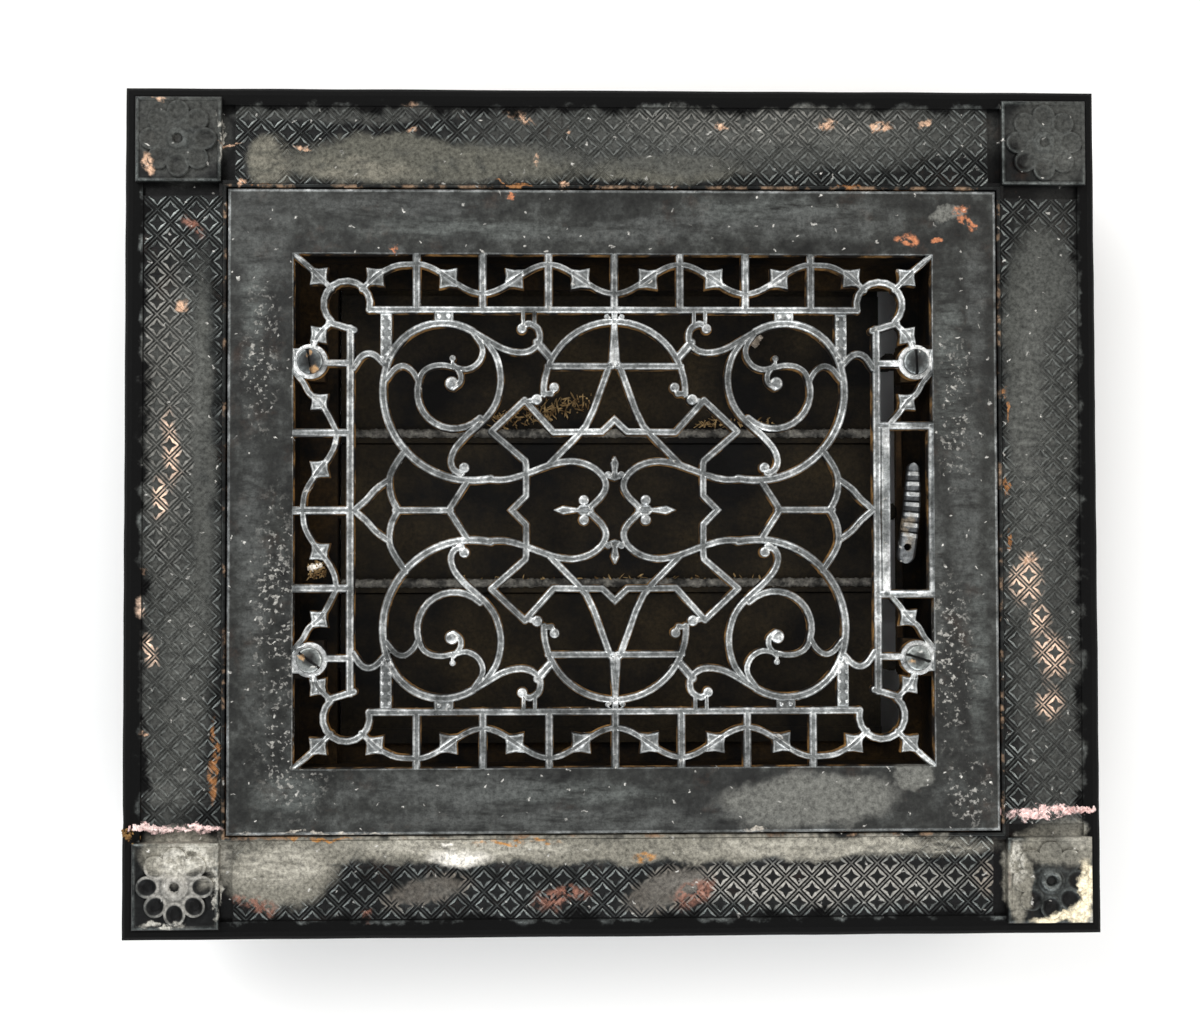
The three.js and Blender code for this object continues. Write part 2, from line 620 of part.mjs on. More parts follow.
// A blade hangs on its pins and laps the next ones: its lip at -Y lies on top of the next blade's
// lip, and its lip at +Y lies under, so all three swing the same way
function louver(y) {
  const half = LOUVER_HALF;
  const reach = LOUVER_PITCH / 2;
  const [low, high] = [PIVOT_HEIGHT - LOUVER_THICKNESS / 2, PIVOT_HEIGHT + LOUVER_THICKNESS / 2];
  const [lip, step] = [reach + LOUVER_LAP, reach - LOUVER_LAP - LAP_GAP];
  const upperFace = PIVOT_HEIGHT + LAP_GAP / 2;
  const lowerFace = PIVOT_HEIGHT - LAP_GAP / 2;
  const section = [
    [step, high], [LIP_WIDTH - lip, high], [LIP_WIDTH - lip, high + LIP_RISE], [-lip, high + LIP_RISE],
    [-lip, upperFace], [-step, upperFace], [-step, low], [lip - LIP_WIDTH, low],
    [lip - LIP_WIDTH, low - LIP_RISE], [lip, low - LIP_RISE], [lip, lowerFace], [step, lowerFace],
  ];
  const shape = new THREE.Shape(section.map(([v, z]) => new THREE.Vector2(y + v, z)));
  const blade = new THREE.ExtrudeGeometry(shape, { depth: 2 * half, bevelEnabled: false });
  blade.rotateX(Math.PI / 2);
  blade.rotateZ(Math.PI / 2);
  blade.translate(-half, 0, 0);
  const end = WALL_X + BOX_WALL - PIN_SETBACK;
  const crankZ = PIVOT_HEIGHT + CRANK_THROW;
  const crankIn = half + CRANK_CLEARANCE;
  const crankOut = crankIn + CRANK_THICKNESS;
  const pinEnd = LINK_X + LINK_THICKNESS / 2 + CRANK_PIN_PROUD;
  const arm = block(
    crankIn, crankOut, y - CRANK_ARM_WIDTH / 2, y + CRANK_ARM_WIDTH / 2, PIVOT_HEIGHT, crankZ,
  );
  return joined([
    toSolid(blade),
    crosswise(-end, -half + PIN_ROOT, y, PIVOT_HEIGHT, PIN_RADIUS, SMALL_SIDES),
    crosswise(half - PIN_ROOT, end, y, PIVOT_HEIGHT, PIN_RADIUS, SMALL_SIDES),
    arm,
    crosswise(crankIn, crankOut, y, crankZ, CRANK_RADIUS, SMALL_SIDES),
    crosswise(crankIn, pinEnd, y, crankZ, CRANK_PIN_RADIUS, SMALL_SIDES),
  ]);
}

// The link and the lever

// The grip's centre line when shut: one end stands clear of the slot's end by the way that the
// cranks still carry it, and it leans a little towards the grille at the other
function leverPath() {
  const travel = CRANK_THROW * Math.sin(THREE.MathUtils.degToRad(OPEN_ANGLE));
  const stop = slotHalf - STOUT_RIB_WIDTH / 2;
  const first = stop - SLOT_CLEARANCE - travel - LEVER_SPARE_ABOVE - LEVER_WIDTH / 2;
  const last = LEVER_SPARE_BELOW + SLOT_CLEARANCE + LEVER_WIDTH / 2 - stop;
  const leans = [1 / 3, 0.2, -0.13, -2 / 3];
  return new THREE.SplineCurve(leans.map((lean, i) => new THREE.Vector2(
    LINK_X + LEVER_LEAN * lean,
    THREE.MathUtils.lerp(first, last, i / (leans.length - 1)),
  )));
}

function linkBar() {
  const [x0, x1] = [LINK_X - LINK_THICKNESS / 2, LINK_X + LINK_THICKNESS / 2];
  const z = PIVOT_HEIGHT + CRANK_THROW;
  const reach = louverCentres()[0] + LINK_OVERHANG;
  const webEnd = leverPath().points[0].y - WEB_SETBACK;
  const bar = block(x0, x1, -reach, reach, z - LINK_HEIGHT / 2, z + LINK_HEIGHT / 2);
  const web = block(x0, x1, webEnd - WEB_LENGTH, webEnd, z, leverUnder() - SEAT_GAP);
  const eyes = louverCentres().map((y) => crosswise(x0, x1, y, z, LINK_EYE_RADIUS));
  const holes = louverCentres().map((y) => crosswise(
    x0 - SUNK, x1 + SUNK, y, z, CRANK_PIN_RADIUS + RUNNING_CLEARANCE, SMALL_SIDES,
  ));
  return holes.reduce((solid, hole) => solid.subtract(hole), joined([bar, web, ...eyes]));
}

function leverUnder() {
  return RIB_TOP + LEVER_TOP_ABOVE_RIBS - LEVER_THICKNESS;
}

function thumbLever() {
  const path = leverPath();
  const length = path.getLength();
  const [low, high] = [leverUnder(), leverUnder() + LEVER_THICKNESS];
  const [start, end] = [path.getPointAt(0), path.getPointAt(1)];
  const grip = joined([
    slab(ribOutline(path.getPoints(8), LEVER_WIDTH), low, high),
    upright(start.x, start.y, LEVER_WIDTH / 2, low, high),
    upright(end.x, end.y, LEVER_WIDTH / 2, low, high),
  ]);
  const count = Math.floor(length / LEVER_RIB_PITCH) - 1;
  const ridges = Array.from({ length: count }, (_, i) => {
    const share = ((i + 0.5) * LEVER_RIB_PITCH) / length;
    const [at, along] = [path.getPointAt(share), path.getTangentAt(share)];
    const side = new THREE.Vector2(-along.y, along.x).multiplyScalar(LEVER_WIDTH / 2 - LEVER_RIB_INSET);
    const ridge = [at.clone().add(side), at.clone().sub(side)];
    return slab(ribOutline(ridge, LEVER_RIB_WIDTH), high - SUNK, high + LEVER_RIB_RISE);
  });
  const hole = path.getPointAt(1 - LEVER_HOLE_SETBACK / length);
  return joined([grip, ...ridges]).subtract(
    upright(hole.x, hole.y, LEVER_HOLE_RADIUS, low - SUNK, high + SUNK, SMALL_SIDES),
  );
}

// The screws: a low head with a slot, turned as each was left

function screw(x, y, slotDegrees) {
  const low = EAR_TOP - EAR_HEIGHT - SCREW_END_PROUD;
  const seat = RIB_TOP + SEAT_GAP;
  const head = seat + SCREW_HEAD_HEIGHT;
  const slot = new THREE.BoxGeometry(3 * SCREW_HEAD_RADIUS, SCREW_SLOT_WIDTH, 2 * SCREW_SLOT_DEPTH);
  slot.rotateZ(THREE.MathUtils.degToRad(slotDegrees));
  slot.translate(x, y, head);
  return upright(x, y, SCREW_HEAD_RADIUS, seat, head)
    .add(upright(x, y, SCREW_SHANK_RADIUS, low, seat + SUNK / 2, SMALL_SIDES))
    .subtract(toSolid(slot));
}

// The whole register

const iron = (color, roughness) => new THREE.MeshStandardMaterial({ color, roughness, metalness: 0.6 });
const darkIron = iron(0x3c4041, 0.62);
const wornIron = iron(0x55595a, 0.5);
const rustyIron = iron(0x4a3a2c, 0.85);
const leverIron = iron(0x6b6a66, 0.45);
const screwIron = iron(0x6f6a5e, 0.5);

const register = new THREE.Group();
register.add(asMesh('border_frame', borderFrame(), darkIron));
register.add(asMesh('register_grille', registerFace(), wornIron));
register.add(asMesh('valve_box', valveBox(), rustyIron));
const louverNames = ['louver_upper', 'louver_middle', 'louver_lower'];
louverCentres().forEach((y, i) => register.add(asMesh(louverNames[i], louver(y), rustyIron)));
register.add(asMesh('link_bar', linkBar(), rustyIron));
register.add(asMesh('thumb_lever', thumbLever(), leverIron));
[
  ['screw_upper_left', -1, 1, 100],
  ['screw_upper_right', 1, 1, 92],
  ['screw_lower_left', -1, -1, -37],
  ['screw_lower_right', 1, -1, -17.5],
].forEach(([name, sx, sy, turn]) => {
  register.add(asMesh(name, screw(sx * screwPlace.x, sy * screwPlace.y, turn), screwIron));
});

export default register;
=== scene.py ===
import math
import random

import bmesh
import bpy
import numpy as np
from mathutils import Euler, Matrix, Vector
from mathutils.geometry import delaunay_2d_cdt


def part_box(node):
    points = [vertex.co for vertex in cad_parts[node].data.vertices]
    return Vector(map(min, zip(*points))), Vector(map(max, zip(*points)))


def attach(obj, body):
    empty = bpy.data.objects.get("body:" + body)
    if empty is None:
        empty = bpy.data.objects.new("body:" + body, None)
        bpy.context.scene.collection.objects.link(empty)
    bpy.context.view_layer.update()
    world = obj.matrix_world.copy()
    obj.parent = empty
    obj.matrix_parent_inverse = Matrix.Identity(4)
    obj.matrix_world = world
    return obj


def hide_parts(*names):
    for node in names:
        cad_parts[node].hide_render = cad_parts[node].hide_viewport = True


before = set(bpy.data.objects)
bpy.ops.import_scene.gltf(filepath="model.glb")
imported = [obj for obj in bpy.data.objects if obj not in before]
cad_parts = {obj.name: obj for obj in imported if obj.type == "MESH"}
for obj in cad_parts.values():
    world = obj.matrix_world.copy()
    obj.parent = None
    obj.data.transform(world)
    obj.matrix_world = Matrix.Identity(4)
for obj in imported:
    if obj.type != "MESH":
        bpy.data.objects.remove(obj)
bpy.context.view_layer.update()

MM = 0.001


# The view: a camera that looks straight down on the register as it lies face up, a little off
# square, as in the photograph.
def placed(name, data, finish=None):
    """Puts a new object in the scene, with its finish as the one material where it is given."""
    made = bpy.data.objects.new(name, data)
    bpy.context.scene.collection.objects.link(made)
    if finish is not None:
        data.materials.clear()
        data.materials.append(finish)
    return made


camera_data = bpy.data.cameras.new("view_from_above")
camera_data.sensor_width = 36.0
camera_data.lens = 56.8
camera_data.clip_start = 0.05
camera_data.dof.use_dof = False
camera = placed("view_from_above", camera_data)
camera.location = (-0.0295, -0.0242, 0.820)
camera.rotation_euler = Euler((math.radians(1.774), math.radians(-1.797), math.radians(-0.133)))
bpy.context.scene.camera = camera


# The room: a pale matt floor under the register and three soft lamps above it, the largest one
# towards the upper left; the view shows plain colours with no film curve.
bpy.context.scene.view_settings.view_transform = "Standard"


def linear(code):
    """The linear colour of an sRGB hex code."""
    parts = [int(code[i:i + 2], 16) / 255 for i in (1, 3, 5)]
    return tuple(c / 12.92 if c <= 0.04045 else ((c + 0.055) / 1.055) ** 2.4 for c in parts) + (1.0,)


def add(tree, kind, inputs=None, out=0, **settings):
    """Adds a node with its settings and its inputs, each a value or an output; gives one output."""
    node = tree.nodes.new(kind)
    for key, value in settings.items():
        setattr(node, key, value)
    for socket, value in (inputs or {}).items():
        if isinstance(value, bpy.types.NodeSocket):
            tree.links.new(value, node.inputs[socket])
        else:
            node.inputs[socket].default_value = value
    return node.outputs[out] if node.outputs else node


def mesh_of(name, verts, faces, wear=None):
    """A mesh of points and faces, with the wear of each point as the attribute relief."""
    mesh = bpy.data.meshes.new(name)
    mesh.from_pydata(verts, [], faces)
    if wear is not None:
        mesh.attributes.new("relief", "FLOAT", "POINT").data.foreach_set(
            "value", np.array(wear, np.float32))
    return mesh


def new_material(name):
    """A new material, with its tree and its shader."""
    material = bpy.data.materials.new(name)
    material.use_nodes = True
    return material, material.node_tree, material.node_tree.nodes["Principled BSDF"]


# Matt paper: white all over, with no gleam
paper, _, shader = new_material("matt white paper")
shader.inputs["Base Color"].default_value = linear("#F8F8F7")
shader.inputs["Roughness"].default_value = 0.9
FLOOR_HALF = 3
floor = placed("floor", mesh_of("floor", [
    (x * FLOOR_HALF, y * FLOOR_HALF, 0) for x, y in ((-1, -1), (1, -1), (1, 1), (-1, 1))],
    [(0, 1, 2, 3)]), paper)

LAMPS = [
    # name, place, size, watts, colour
    ("broad_lamp_upper_left", (-0.75, 0.85, 1.15), 0.9, 19.0, "#FFFFFF"),
    ("broad_lamp_right", (1.05, 0.15, 1.25), 0.8, 10.0, "#FFFAF4"),
    ("broad_lamp_below", (0.1, -1.1, 1.2), 0.9, 13.0, "#F8FBFF"),
]
for name, place, size, watts, code in LAMPS:
    lamp_data = bpy.data.lights.new(name, "AREA")
    lamp_data.size = size
    lamp_data.energy = watts
    lamp_data.color = linear(code)[:3]
    lamp = placed(name, lamp_data)
    lamp.location = place
    lamp.rotation_euler = (Vector((0, 0, 0.07)) - Vector(place)).to_track_quat("-Z", "Y").to_euler()

world = bpy.data.worlds.new("white_room")
world.use_nodes = True
world.node_tree.nodes["Background"].inputs["Color"].default_value = linear("#FFFFFF")
world.node_tree.nodes["Background"].inputs["Strength"].default_value = 0.42
bpy.context.scene.world = world


# The register face: one grey iron casting, the flat plate with the openwork grille in it. Each
# bar of the grille has two rounded ridges with a groove between them and sides that were drafted
# to leave the sand; the ridges are worn bright and carry a painted highlight, the grooves hold
# dirt, the sides are rust-brown.
def corners_mm(node):
    """The low and the high corner of a CAD node's box, in mm."""
    return [[1000 * v for v in corner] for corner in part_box(node)]


face_low, face_high = corners_mm("register_grille")
PLATE_TOP = face_high[2]
RIB_TOP = PLATE_TOP - 0.5
RIB_UNDER = face_low[2]
PLATE_UNDER = RIB_UNDER + 1.0
PLATE_HALF = (face_high[0], face_high[1])
PLATE_BORDER = 26.0
OPENING_HALF = (face_high[0] - PLATE_BORDER, face_high[1] - PLATE_BORDER)
STEP = 0.3  # of the grid on which the outlines are found
FLANK = 0.32  # width of a rib's drafted side, seen from above
SIDE_FOOT, GROOVE = -2.5, -0.9  # heights above the ribs' top
OUTSIDE = -9.0  # the depth of a point that lies in no form
MARGIN = 2.5  # round a form, past which no depth is worked out
RIB, FINE_RIB, STOUT_RIB = 3.2, 2.8, 3.6


def spline(steps, *points):
    """Points evenly along a smooth line through the given ones."""
    p = np.array([points[0], *points, points[-1]], float)
    line = []
    for i in range(steps + 1):
        t = i / steps * (len(points) - 1)
        k = min(int(t), len(points) - 2)
        t -= k
        a, b, c, d = p[k], p[k + 1], p[k + 2], p[k + 3]
        v0, v1 = (c - a) * 0.5, (d - b) * 0.5
        line.append((2 * b - 2 * c + v0 + v1) * t ** 3
                    + (-3 * b + 3 * c - 2 * v0 - v1) * t * t + v0 * t + b)
    return line


def arc(x, y, radius, start, end):
    """Points of an arc, with its angles in degrees."""
    turns = np.radians(np.linspace(start, end, max(6, int(abs(end - start) * radius / 170))))
    return [(x + radius * math.cos(a), y + radius * math.sin(a)) for a in turns]


def star_leaf(x, y, tip_x, tip_y, hollow=0.43):
    """A leaf of four points with hollow sides."""
    tips = [(tip_x, tip_y), (-tip_y, tip_x), (-tip_x, -tip_y), (tip_y, -tip_x)]
    outline = []
    for (ax, ay), (bx, by) in zip(tips, tips[1:] + tips[:1]):
        outline.append((x + ax, y + ay))
        outline.append((x + (ax + bx) * hollow, y + (ay + by) * hollow))
    return outline


wave = [(x, 92.15 - 5.85 * math.cos(math.pi * x / 26.2)) for x in np.linspace(0, 78.6, 60)]
ribs = [
    # the inner frame and its looped corner
    ([(97.4, 79.8), (-1, 79.8)], RIB),
    ([(104.8, 72.2), (104.8, -1)], STOUT_RIB),
    (arc(106.2, 82, 9.2, 195, -50), RIB),
    ([(113.2, 74.6), (103.2, 71.6)], RIB),
    # the vine along the top
    *[([(n * 26.2, 102.2), (n * 26.2, 79.8)], STOUT_RIB) for n in range(4)],
    (wave, FINE_RIB),
    (spline(20, (78, 98), (86, 97.5), (91, 95.5), (95, 92.8), (100.3, 87.8)), FINE_RIB),
    (spline(16, (127.2, 101.8), (121.5, 97), (117.3, 93), (112.2, 88)), FINE_RIB),
    # the tie to the screw
    ([(115.5, 58.5), (104.8, 58.5)], RIB),
    (spline(12, (112.2, 74.8), (117.3, 69.7), (119.5, 64)), FINE_RIB),
    # the cusped arch beside the corner
    (spline(20, (103.6, 56.5), (100.5, 61), (97.3, 62.3), (94.2, 61), (91.2, 57.8)), RIB),
    # the great scroll
    (spline(44, (36.8, 72.8), (33.8, 74.3), (30.3, 72), (29.9, 67), (33.5, 63.5), (38.5, 62.8),
            (44.5, 64.3), (51, 67.9), (57.1, 71.6)), RIB),
    (arc(68.2, 51.6, 22.9, 121, 20.6), STOUT_RIB),
    (arc(56.5, 47.2, 35.4, 20.6, -102), STOUT_RIB),
    (spline(60, (50.4, 12.3), (44, 12.1), (37.5, 13.6), (30, 16.4), (23.5, 18.6), (16.5, 19.4),
            (9.8, 17.6), (5, 13.8), (3.5, 9.6), (5.2, 5.6), (9.6, 1.2)), RIB),
    ([(36.3, 79.8), (36.3, 73)], 2.2),
    ([(31.8, 79.8), (31.8, 73.5)], 2.2),
    ([(30.8, 66.8), (25.6, 60.8)], 4.0),
    # the scroll inside it, its tendrils and the spur on it
    (spline(56, (52, 68.5), (47, 61), (45.2, 52), (46.8, 43.5), (50, 38), (54.5, 33.5), (59.5, 29),
            (63.6, 24), (65, 19.3), (63.6, 15.8), (60.6, 14.8)), RIB),
    (arc(63.7, 47, 14.6, 18, -135), RIB),
    (spline(50, (77.8, 51), (76, 55), (72.5, 57.2), (68, 57.7), (63.5, 56.8), (59, 56), (55, 57.8),
            (52.6, 61.5), (52.8, 65.5), (56, 70.3)), FINE_RIB),
    (spline(20, (77.8, 51), (80, 55), (83.5, 57.4), (87, 56.3), (90.5, 52)), FINE_RIB),
    (spline(14, (63.8, 57.5), (61.3, 54.5), (61.3, 51), (64, 48.6)), FINE_RIB),
    ([(64.3, 56.5), (64.3, 60.6)], 2.0),
    # the arch at the middle
    (arc(0, 47, 28.2, 92, -2), RIB),
    ([(28.2, 46.6), (25.2, 46.2), (24.2, 48.6)], FINE_RIB),
    ([(30.9, 44), (36, 43)], FINE_RIB),
    ([(26.6, 57.3), (1, 57.3)], RIB),
    ([(1.8, 58), (3.9, 52.4), (8.3, 40), (11.5, 33.3), (16, 28.3), (26.5, 17.6)], RIB),
    # the star and the bars that tie it to the side
    ([(-1, 36.9), (5, 31.2), (24.3, 31), (35.7, 43.8), (49, 31.2), (35.5, 19.5), (35.2, 18),
      (35.2, 5.8), (41.8, -1)], RIB),
    (spline(18, (82.8, 24.2), (87.3, 17.5), (89.3, 12), (88.4, 5), (85.2, -1)), RIB),
    (spline(14, (89.3, 12.2), (94.5, 8.5), (98.5, 4), (104.4, -1)), RIB),
    ([(87, 0), (65, 0)], RIB),
    ([(66.5, -1), (58.1, 12)], RIB),
]
vine_at_side = [(127.2, 55.5), (123.5, 51), (121, 46.5), (117, 43), (114, 38.8)]
ribs_left = ribs + [
    (spline(26, *vine_at_side, (110, 30.8)), FINE_RIB),
    ([(127.6, 30.8), (104.8, 30.8)], STOUT_RIB),
    ([(127.6, 0), (104.8, 0)], STOUT_RIB),
    (spline(34, (110, 30.8), (111, 25.5), (113.5, 20.5), (116.8, 16.3), (120.5, 11), (122.8, 6),
            (123.6, -1)), FINE_RIB),
]
ribs_right = ribs + [
    (spline(24, *vine_at_side, (109.5, 33.6)), FINE_RIB),
    ([(127.6, 33.6), (104.8, 33.6)], STOUT_RIB),
]
# Flat-topped forms: leaves, the spire, the petals of the medallion and the beaded posts
leaves = [
    star_leaf(13.5, 92.2, -4.1, 4.6),
    star_leaf(39.8, 92.3, 3.9, 4.5),
    star_leaf(66, 92.3, -3.9, 4.5),
    star_leaf(95, 92.8, 3.9, 4.1),
    star_leaf(117.3, 93, -3.9, 3.8),
    star_leaf(117.3, 69.7, 3.5, 3.9),
    star_leaf(117, 43, -3.9, 3.5),
    [(-1, 79.8), (1.6, 79.8), (1.6, 72), (2.8, 56.5), (-1, 56.5)],
    [(88, 78.5), (93.2, 78.5), (93.2, 58), (88, 58)],
    [(120.5, 53.5), (127.6, 53.5), (127.6, 64.5), (120.5, 64.5)],
    [(63.7, 79.8), (71.9, 79.8), (71.9, 74.6), (63.7, 74.6)],
    [(8, -1), (8, 1.2), (10.8, 2.4), (13.8, 2.4), (15, 1.1), (20.6, 2), (24.6, 0.3), (24.6, -1)],
    [(-1, 11), (2.8, 12.2), (1.4, 15.4), (2, 18.6), (0.6, 21.6), (-1, 21.6)],
]
leaves_left = leaves + [star_leaf(116.8, 16.3, 4.4, 3.4)]
leaves_right = leaves + [
    [(106.2, 35), (110.4, 35), (110.4, -1), (106.2, -1)],
    [(125.1, 35), (129, 35), (129, -1), (125.1, -1)],
]
# Round forms: the bulbs where scrolls end, and small beads on the posts
bulbs = [(36.8, 72.3, 2.3), (59.7, 16.8, 2.4), (64.6, 50.4, 3), (24, 48.8, 2.3), (30.9, 44, 2.5),
         (12.3, 3.9, 2.4), (2.6, 14, 1.7), (64.3, 60.4, 1.5), (3, 77, 1.3)]
beads = [(90.6 + side * 1.45, 60.6 + 3.9 * n, 1.1) for side in (-1, 1) for n in range(5)]
beads += [(65.9, 77.2, 1.35), (69.7, 77.2, 1.35)]
BOSS = (120.5, 59.0, 7.2)


def reach(points, a, b):
    """How far points lie from the straight line between two others."""
    t = np.clip((points - a) @ (b - a) / max((b - a) @ (b - a), 1e-9), 0, 1)
    return np.linalg.norm(points - a - t[:, None] * (b - a), axis=1)


def edges_of(face):
    """The edges of a triangle, in its own direction."""
    return (face[0], face[1]), (face[1], face[2]), (face[2], face[0])


def quarter(lines, flats):
    """One quarter of the face, for x and y from zero: its triangles on top and their heights."""
    xs = np.arange(0, OPENING_HALF[0] + 1.2, STEP)
    ys = np.arange(0, OPENING_HALF[1] + 1.2, STEP)
    grid = np.stack(np.meshgrid(xs, ys, indexing="ij"), -1)

    def rib_share(points):
        """How near each point is to a rib's centre line: 1 on it, 0 at its edge; and its depth."""
        share = np.full(points.shape[:-1], OUTSIDE)
        depth = np.full(points.shape[:-1], OUTSIDE)
        for line, width in lines:
            line = np.array(line, float)
            half = width / 2
            for a, b in zip(line[:-1], line[1:]):
                low, high = np.minimum(a, b) - MARGIN - half, np.maximum(a, b) + MARGIN + half
                near = ((points >= low) & (points <= high)).all(-1)
                if not near.any():
                    continue
                d = reach(points[near], a, b)
                share[near] = np.maximum(share[near], 1 - d / half)
                depth[near] = np.maximum(depth[near], half - d)
        return share, depth

    def flat_depth(points):
        """How deep each point lies in a flat-topped form."""
        depth = np.full(points.shape[:-1], OUTSIDE)
        for outline in flats:
            o = np.array(outline, float)
            near = ((points >= o.min(0) - MARGIN) & (points <= o.max(0) + MARGIN)).all(-1)
            p = points[near]
            if not len(p):
                continue
            nearest = np.full(len(p), 99.0)
            inside = np.zeros(len(p), bool)
            for a, b in zip(o, np.roll(o, -1, 0)):
                nearest = np.minimum(nearest, reach(p, a, b))
                crosses = (a[1] > p[:, 1]) != (b[1] > p[:, 1])
                with np.errstate(divide="ignore", invalid="ignore"):
                    inside ^= crosses & (
                        p[:, 0] < (b[0] - a[0]) * (p[:, 1] - a[1]) / (b[1] - a[1]) + a[0])
            depth[near] = np.maximum(depth[near], np.where(inside, nearest, -nearest))
        return depth

    def round_share(points, rounds):
        """How near each point is to the middle of a round form, and its depth in it."""
        share = np.full(points.shape[:-1], OUTSIDE)
        depth = np.full(points.shape[:-1], OUTSIDE)
        for x, y, radius in rounds:
            d = np.hypot(points[..., 0] - x, points[..., 1] - y)
            share = np.maximum(share, 1 - d / radius)
            depth = np.maximum(depth, radius - d)
        return share, depth

    def plate_depth(points):
        return np.maximum(points[..., 0] - OPENING_HALF[0], points[..., 1] - OPENING_HALF[1])

    def fields(points):
        share, depth = rib_share(points)
        flat = flat_depth(points)
        bulb, bulb_depth = round_share(points, bulbs)
        bead, _ = round_share(points, beads)
        boss, boss_depth = round_share(points, [BOSS])
        plate = plate_depth(points)
        whole = np.maximum.reduce([depth, flat, bulb_depth, boss_depth, plate])
        return share, flat, bulb, bead, boss_depth, plate, whole

    def height(points):
        """The casting's height above the ribs' top, in mm."""
        share, flat, bulb, bead, boss, plate, whole = fields(points)
        flank = np.interp(whole, [0, FLANK], [SIDE_FOOT, -0.35])
        ridge = np.interp(share, [0, 0.2, 0.5, 0.8, 1], [GROOVE, -0.35, 0, -0.4, -0.55])
        leaf = np.interp(flat, [0, 0.4, 0.75, 1.3], [GROOVE, -0.35, -0.2, -0.45])
        ball = np.interp(bulb, [0, 0.25, 0.55, 1], [-0.8, -0.1, 0.3, 0.45])
        pearl = np.interp(bead, [0, 0.5, 1], [-0.4, 0.1, 0.3])
        collar = np.interp(boss, [0, 0.4, 1.2, 1.5], [-0.6, 0, 0, -0.05])
        rim = np.interp(plate, [0, 0.45], [-0.6, 0.5])
        body = np.where(share > 0, ridge, OUTSIDE)
        for form, mask in ((leaf, flat > 0), (ball, bulb > 0), (collar, boss > 0), (rim, plate > 0)):
            body = np.maximum(body, np.where(mask, form, OUTSIDE))
        body = np.maximum(body, np.where(bead > 0, pearl, OUTSIDE))
        top = np.where(whole >= FLANK - 1e-6, np.maximum(body, GROOVE),
                       np.minimum(flank, np.maximum(body, SIDE_FOOT)))
        return top, plate

    share, flat, bulb, bead, boss, _, whole = fields(grid)

    def contour(values, level):
        """The lines where a field on the grid crosses a level."""
        v = values - level
        v[v == 0] = 1e-9
        points, key = [], {}

        def crossing(i, j, k, l):
            name = (i, j, k, l)
            if name not in key:
                t = v[i, j] / (v[i, j] - v[k, l])
                key[name] = len(points)
                points.append((xs[i] + t * (xs[k] - xs[i]), ys[j] + t * (ys[l] - ys[j])))
            return key[name]

        s = v > 0
        code = (s[:-1, :-1] * 1 + s[1:, :-1] * 2 + s[1:, 1:] * 4 + s[:-1, 1:] * 8)
        links = {}
        for i, j in zip(*np.nonzero((code > 0) & (code < 15))):
            edges = []
            corners = ((i, j), (i + 1, j), (i + 1, j + 1), (i, j + 1))
            for (a, b), (c, d) in zip(corners, corners[1:] + corners[:1]):
                if s[a, b] != s[c, d]:
                    edges.append(crossing(*min((a, b), (c, d)), *max((a, b), (c, d))))
            if len(edges) == 4 and (v[i:i + 2, j:j + 2].mean() > 0) != s[i, j]:
                edges = edges[1:] + edges[:1]
            for a, b in zip(edges[::2], edges[1::2]):
                links.setdefault(a, []).append(b)
                links.setdefault(b, []).append(a)
        chains, seen = [], set()
        starts = [n for n in links if len(links[n]) == 1] + list(links)
        for start in starts:
            if start in seen:
                continue
            chain, here = [start], start
            seen.add(start)
            while True:
                ahead = [n for n in links[here] if n not in seen]
                if not ahead:
                    break
                here = ahead[0]
                seen.add(here)
                chain.append(here)
            if len(chain) > 2 and start in links[chain[-1]]:
                chain.append(start)
            chains.append(np.array([points[n] for n in chain]))
        return [c for c in chains if len(c) > 2]

    def thinned(chain, tolerance):
        """A chain with the points left out that lie within the tolerance of a straight line."""
        keep = np.zeros(len(chain), bool)
        keep[[0, -1]] = True
        closed = np.allclose(chain[0], chain[-1])
        if closed:
            keep[np.argmax(((chain - chain[0]) ** 2).sum(1))] = True
        ends = np.nonzero(keep)[0]
        stack = list(zip(ends[:-1], ends[1:]))
        while stack:
            a, b = stack.pop()
            if b - a < 2:
                continue
            along = chain[b] - chain[a]
            off = chain[a + 1:b] - chain[a]
            size = np.linalg.norm(along)
            far = (np.abs(along[0] * off[:, 1] - along[1] * off[:, 0]) / size if size
                   else np.linalg.norm(off, axis=1))
            if far.max() > tolerance:
                middle = a + 1 + int(far.argmax())
                keep[middle] = True
                stack += [(a, middle), (middle, b)]
        return chain[keep]

    ox, oy = OPENING_HALF
    px, py = PLATE_HALF

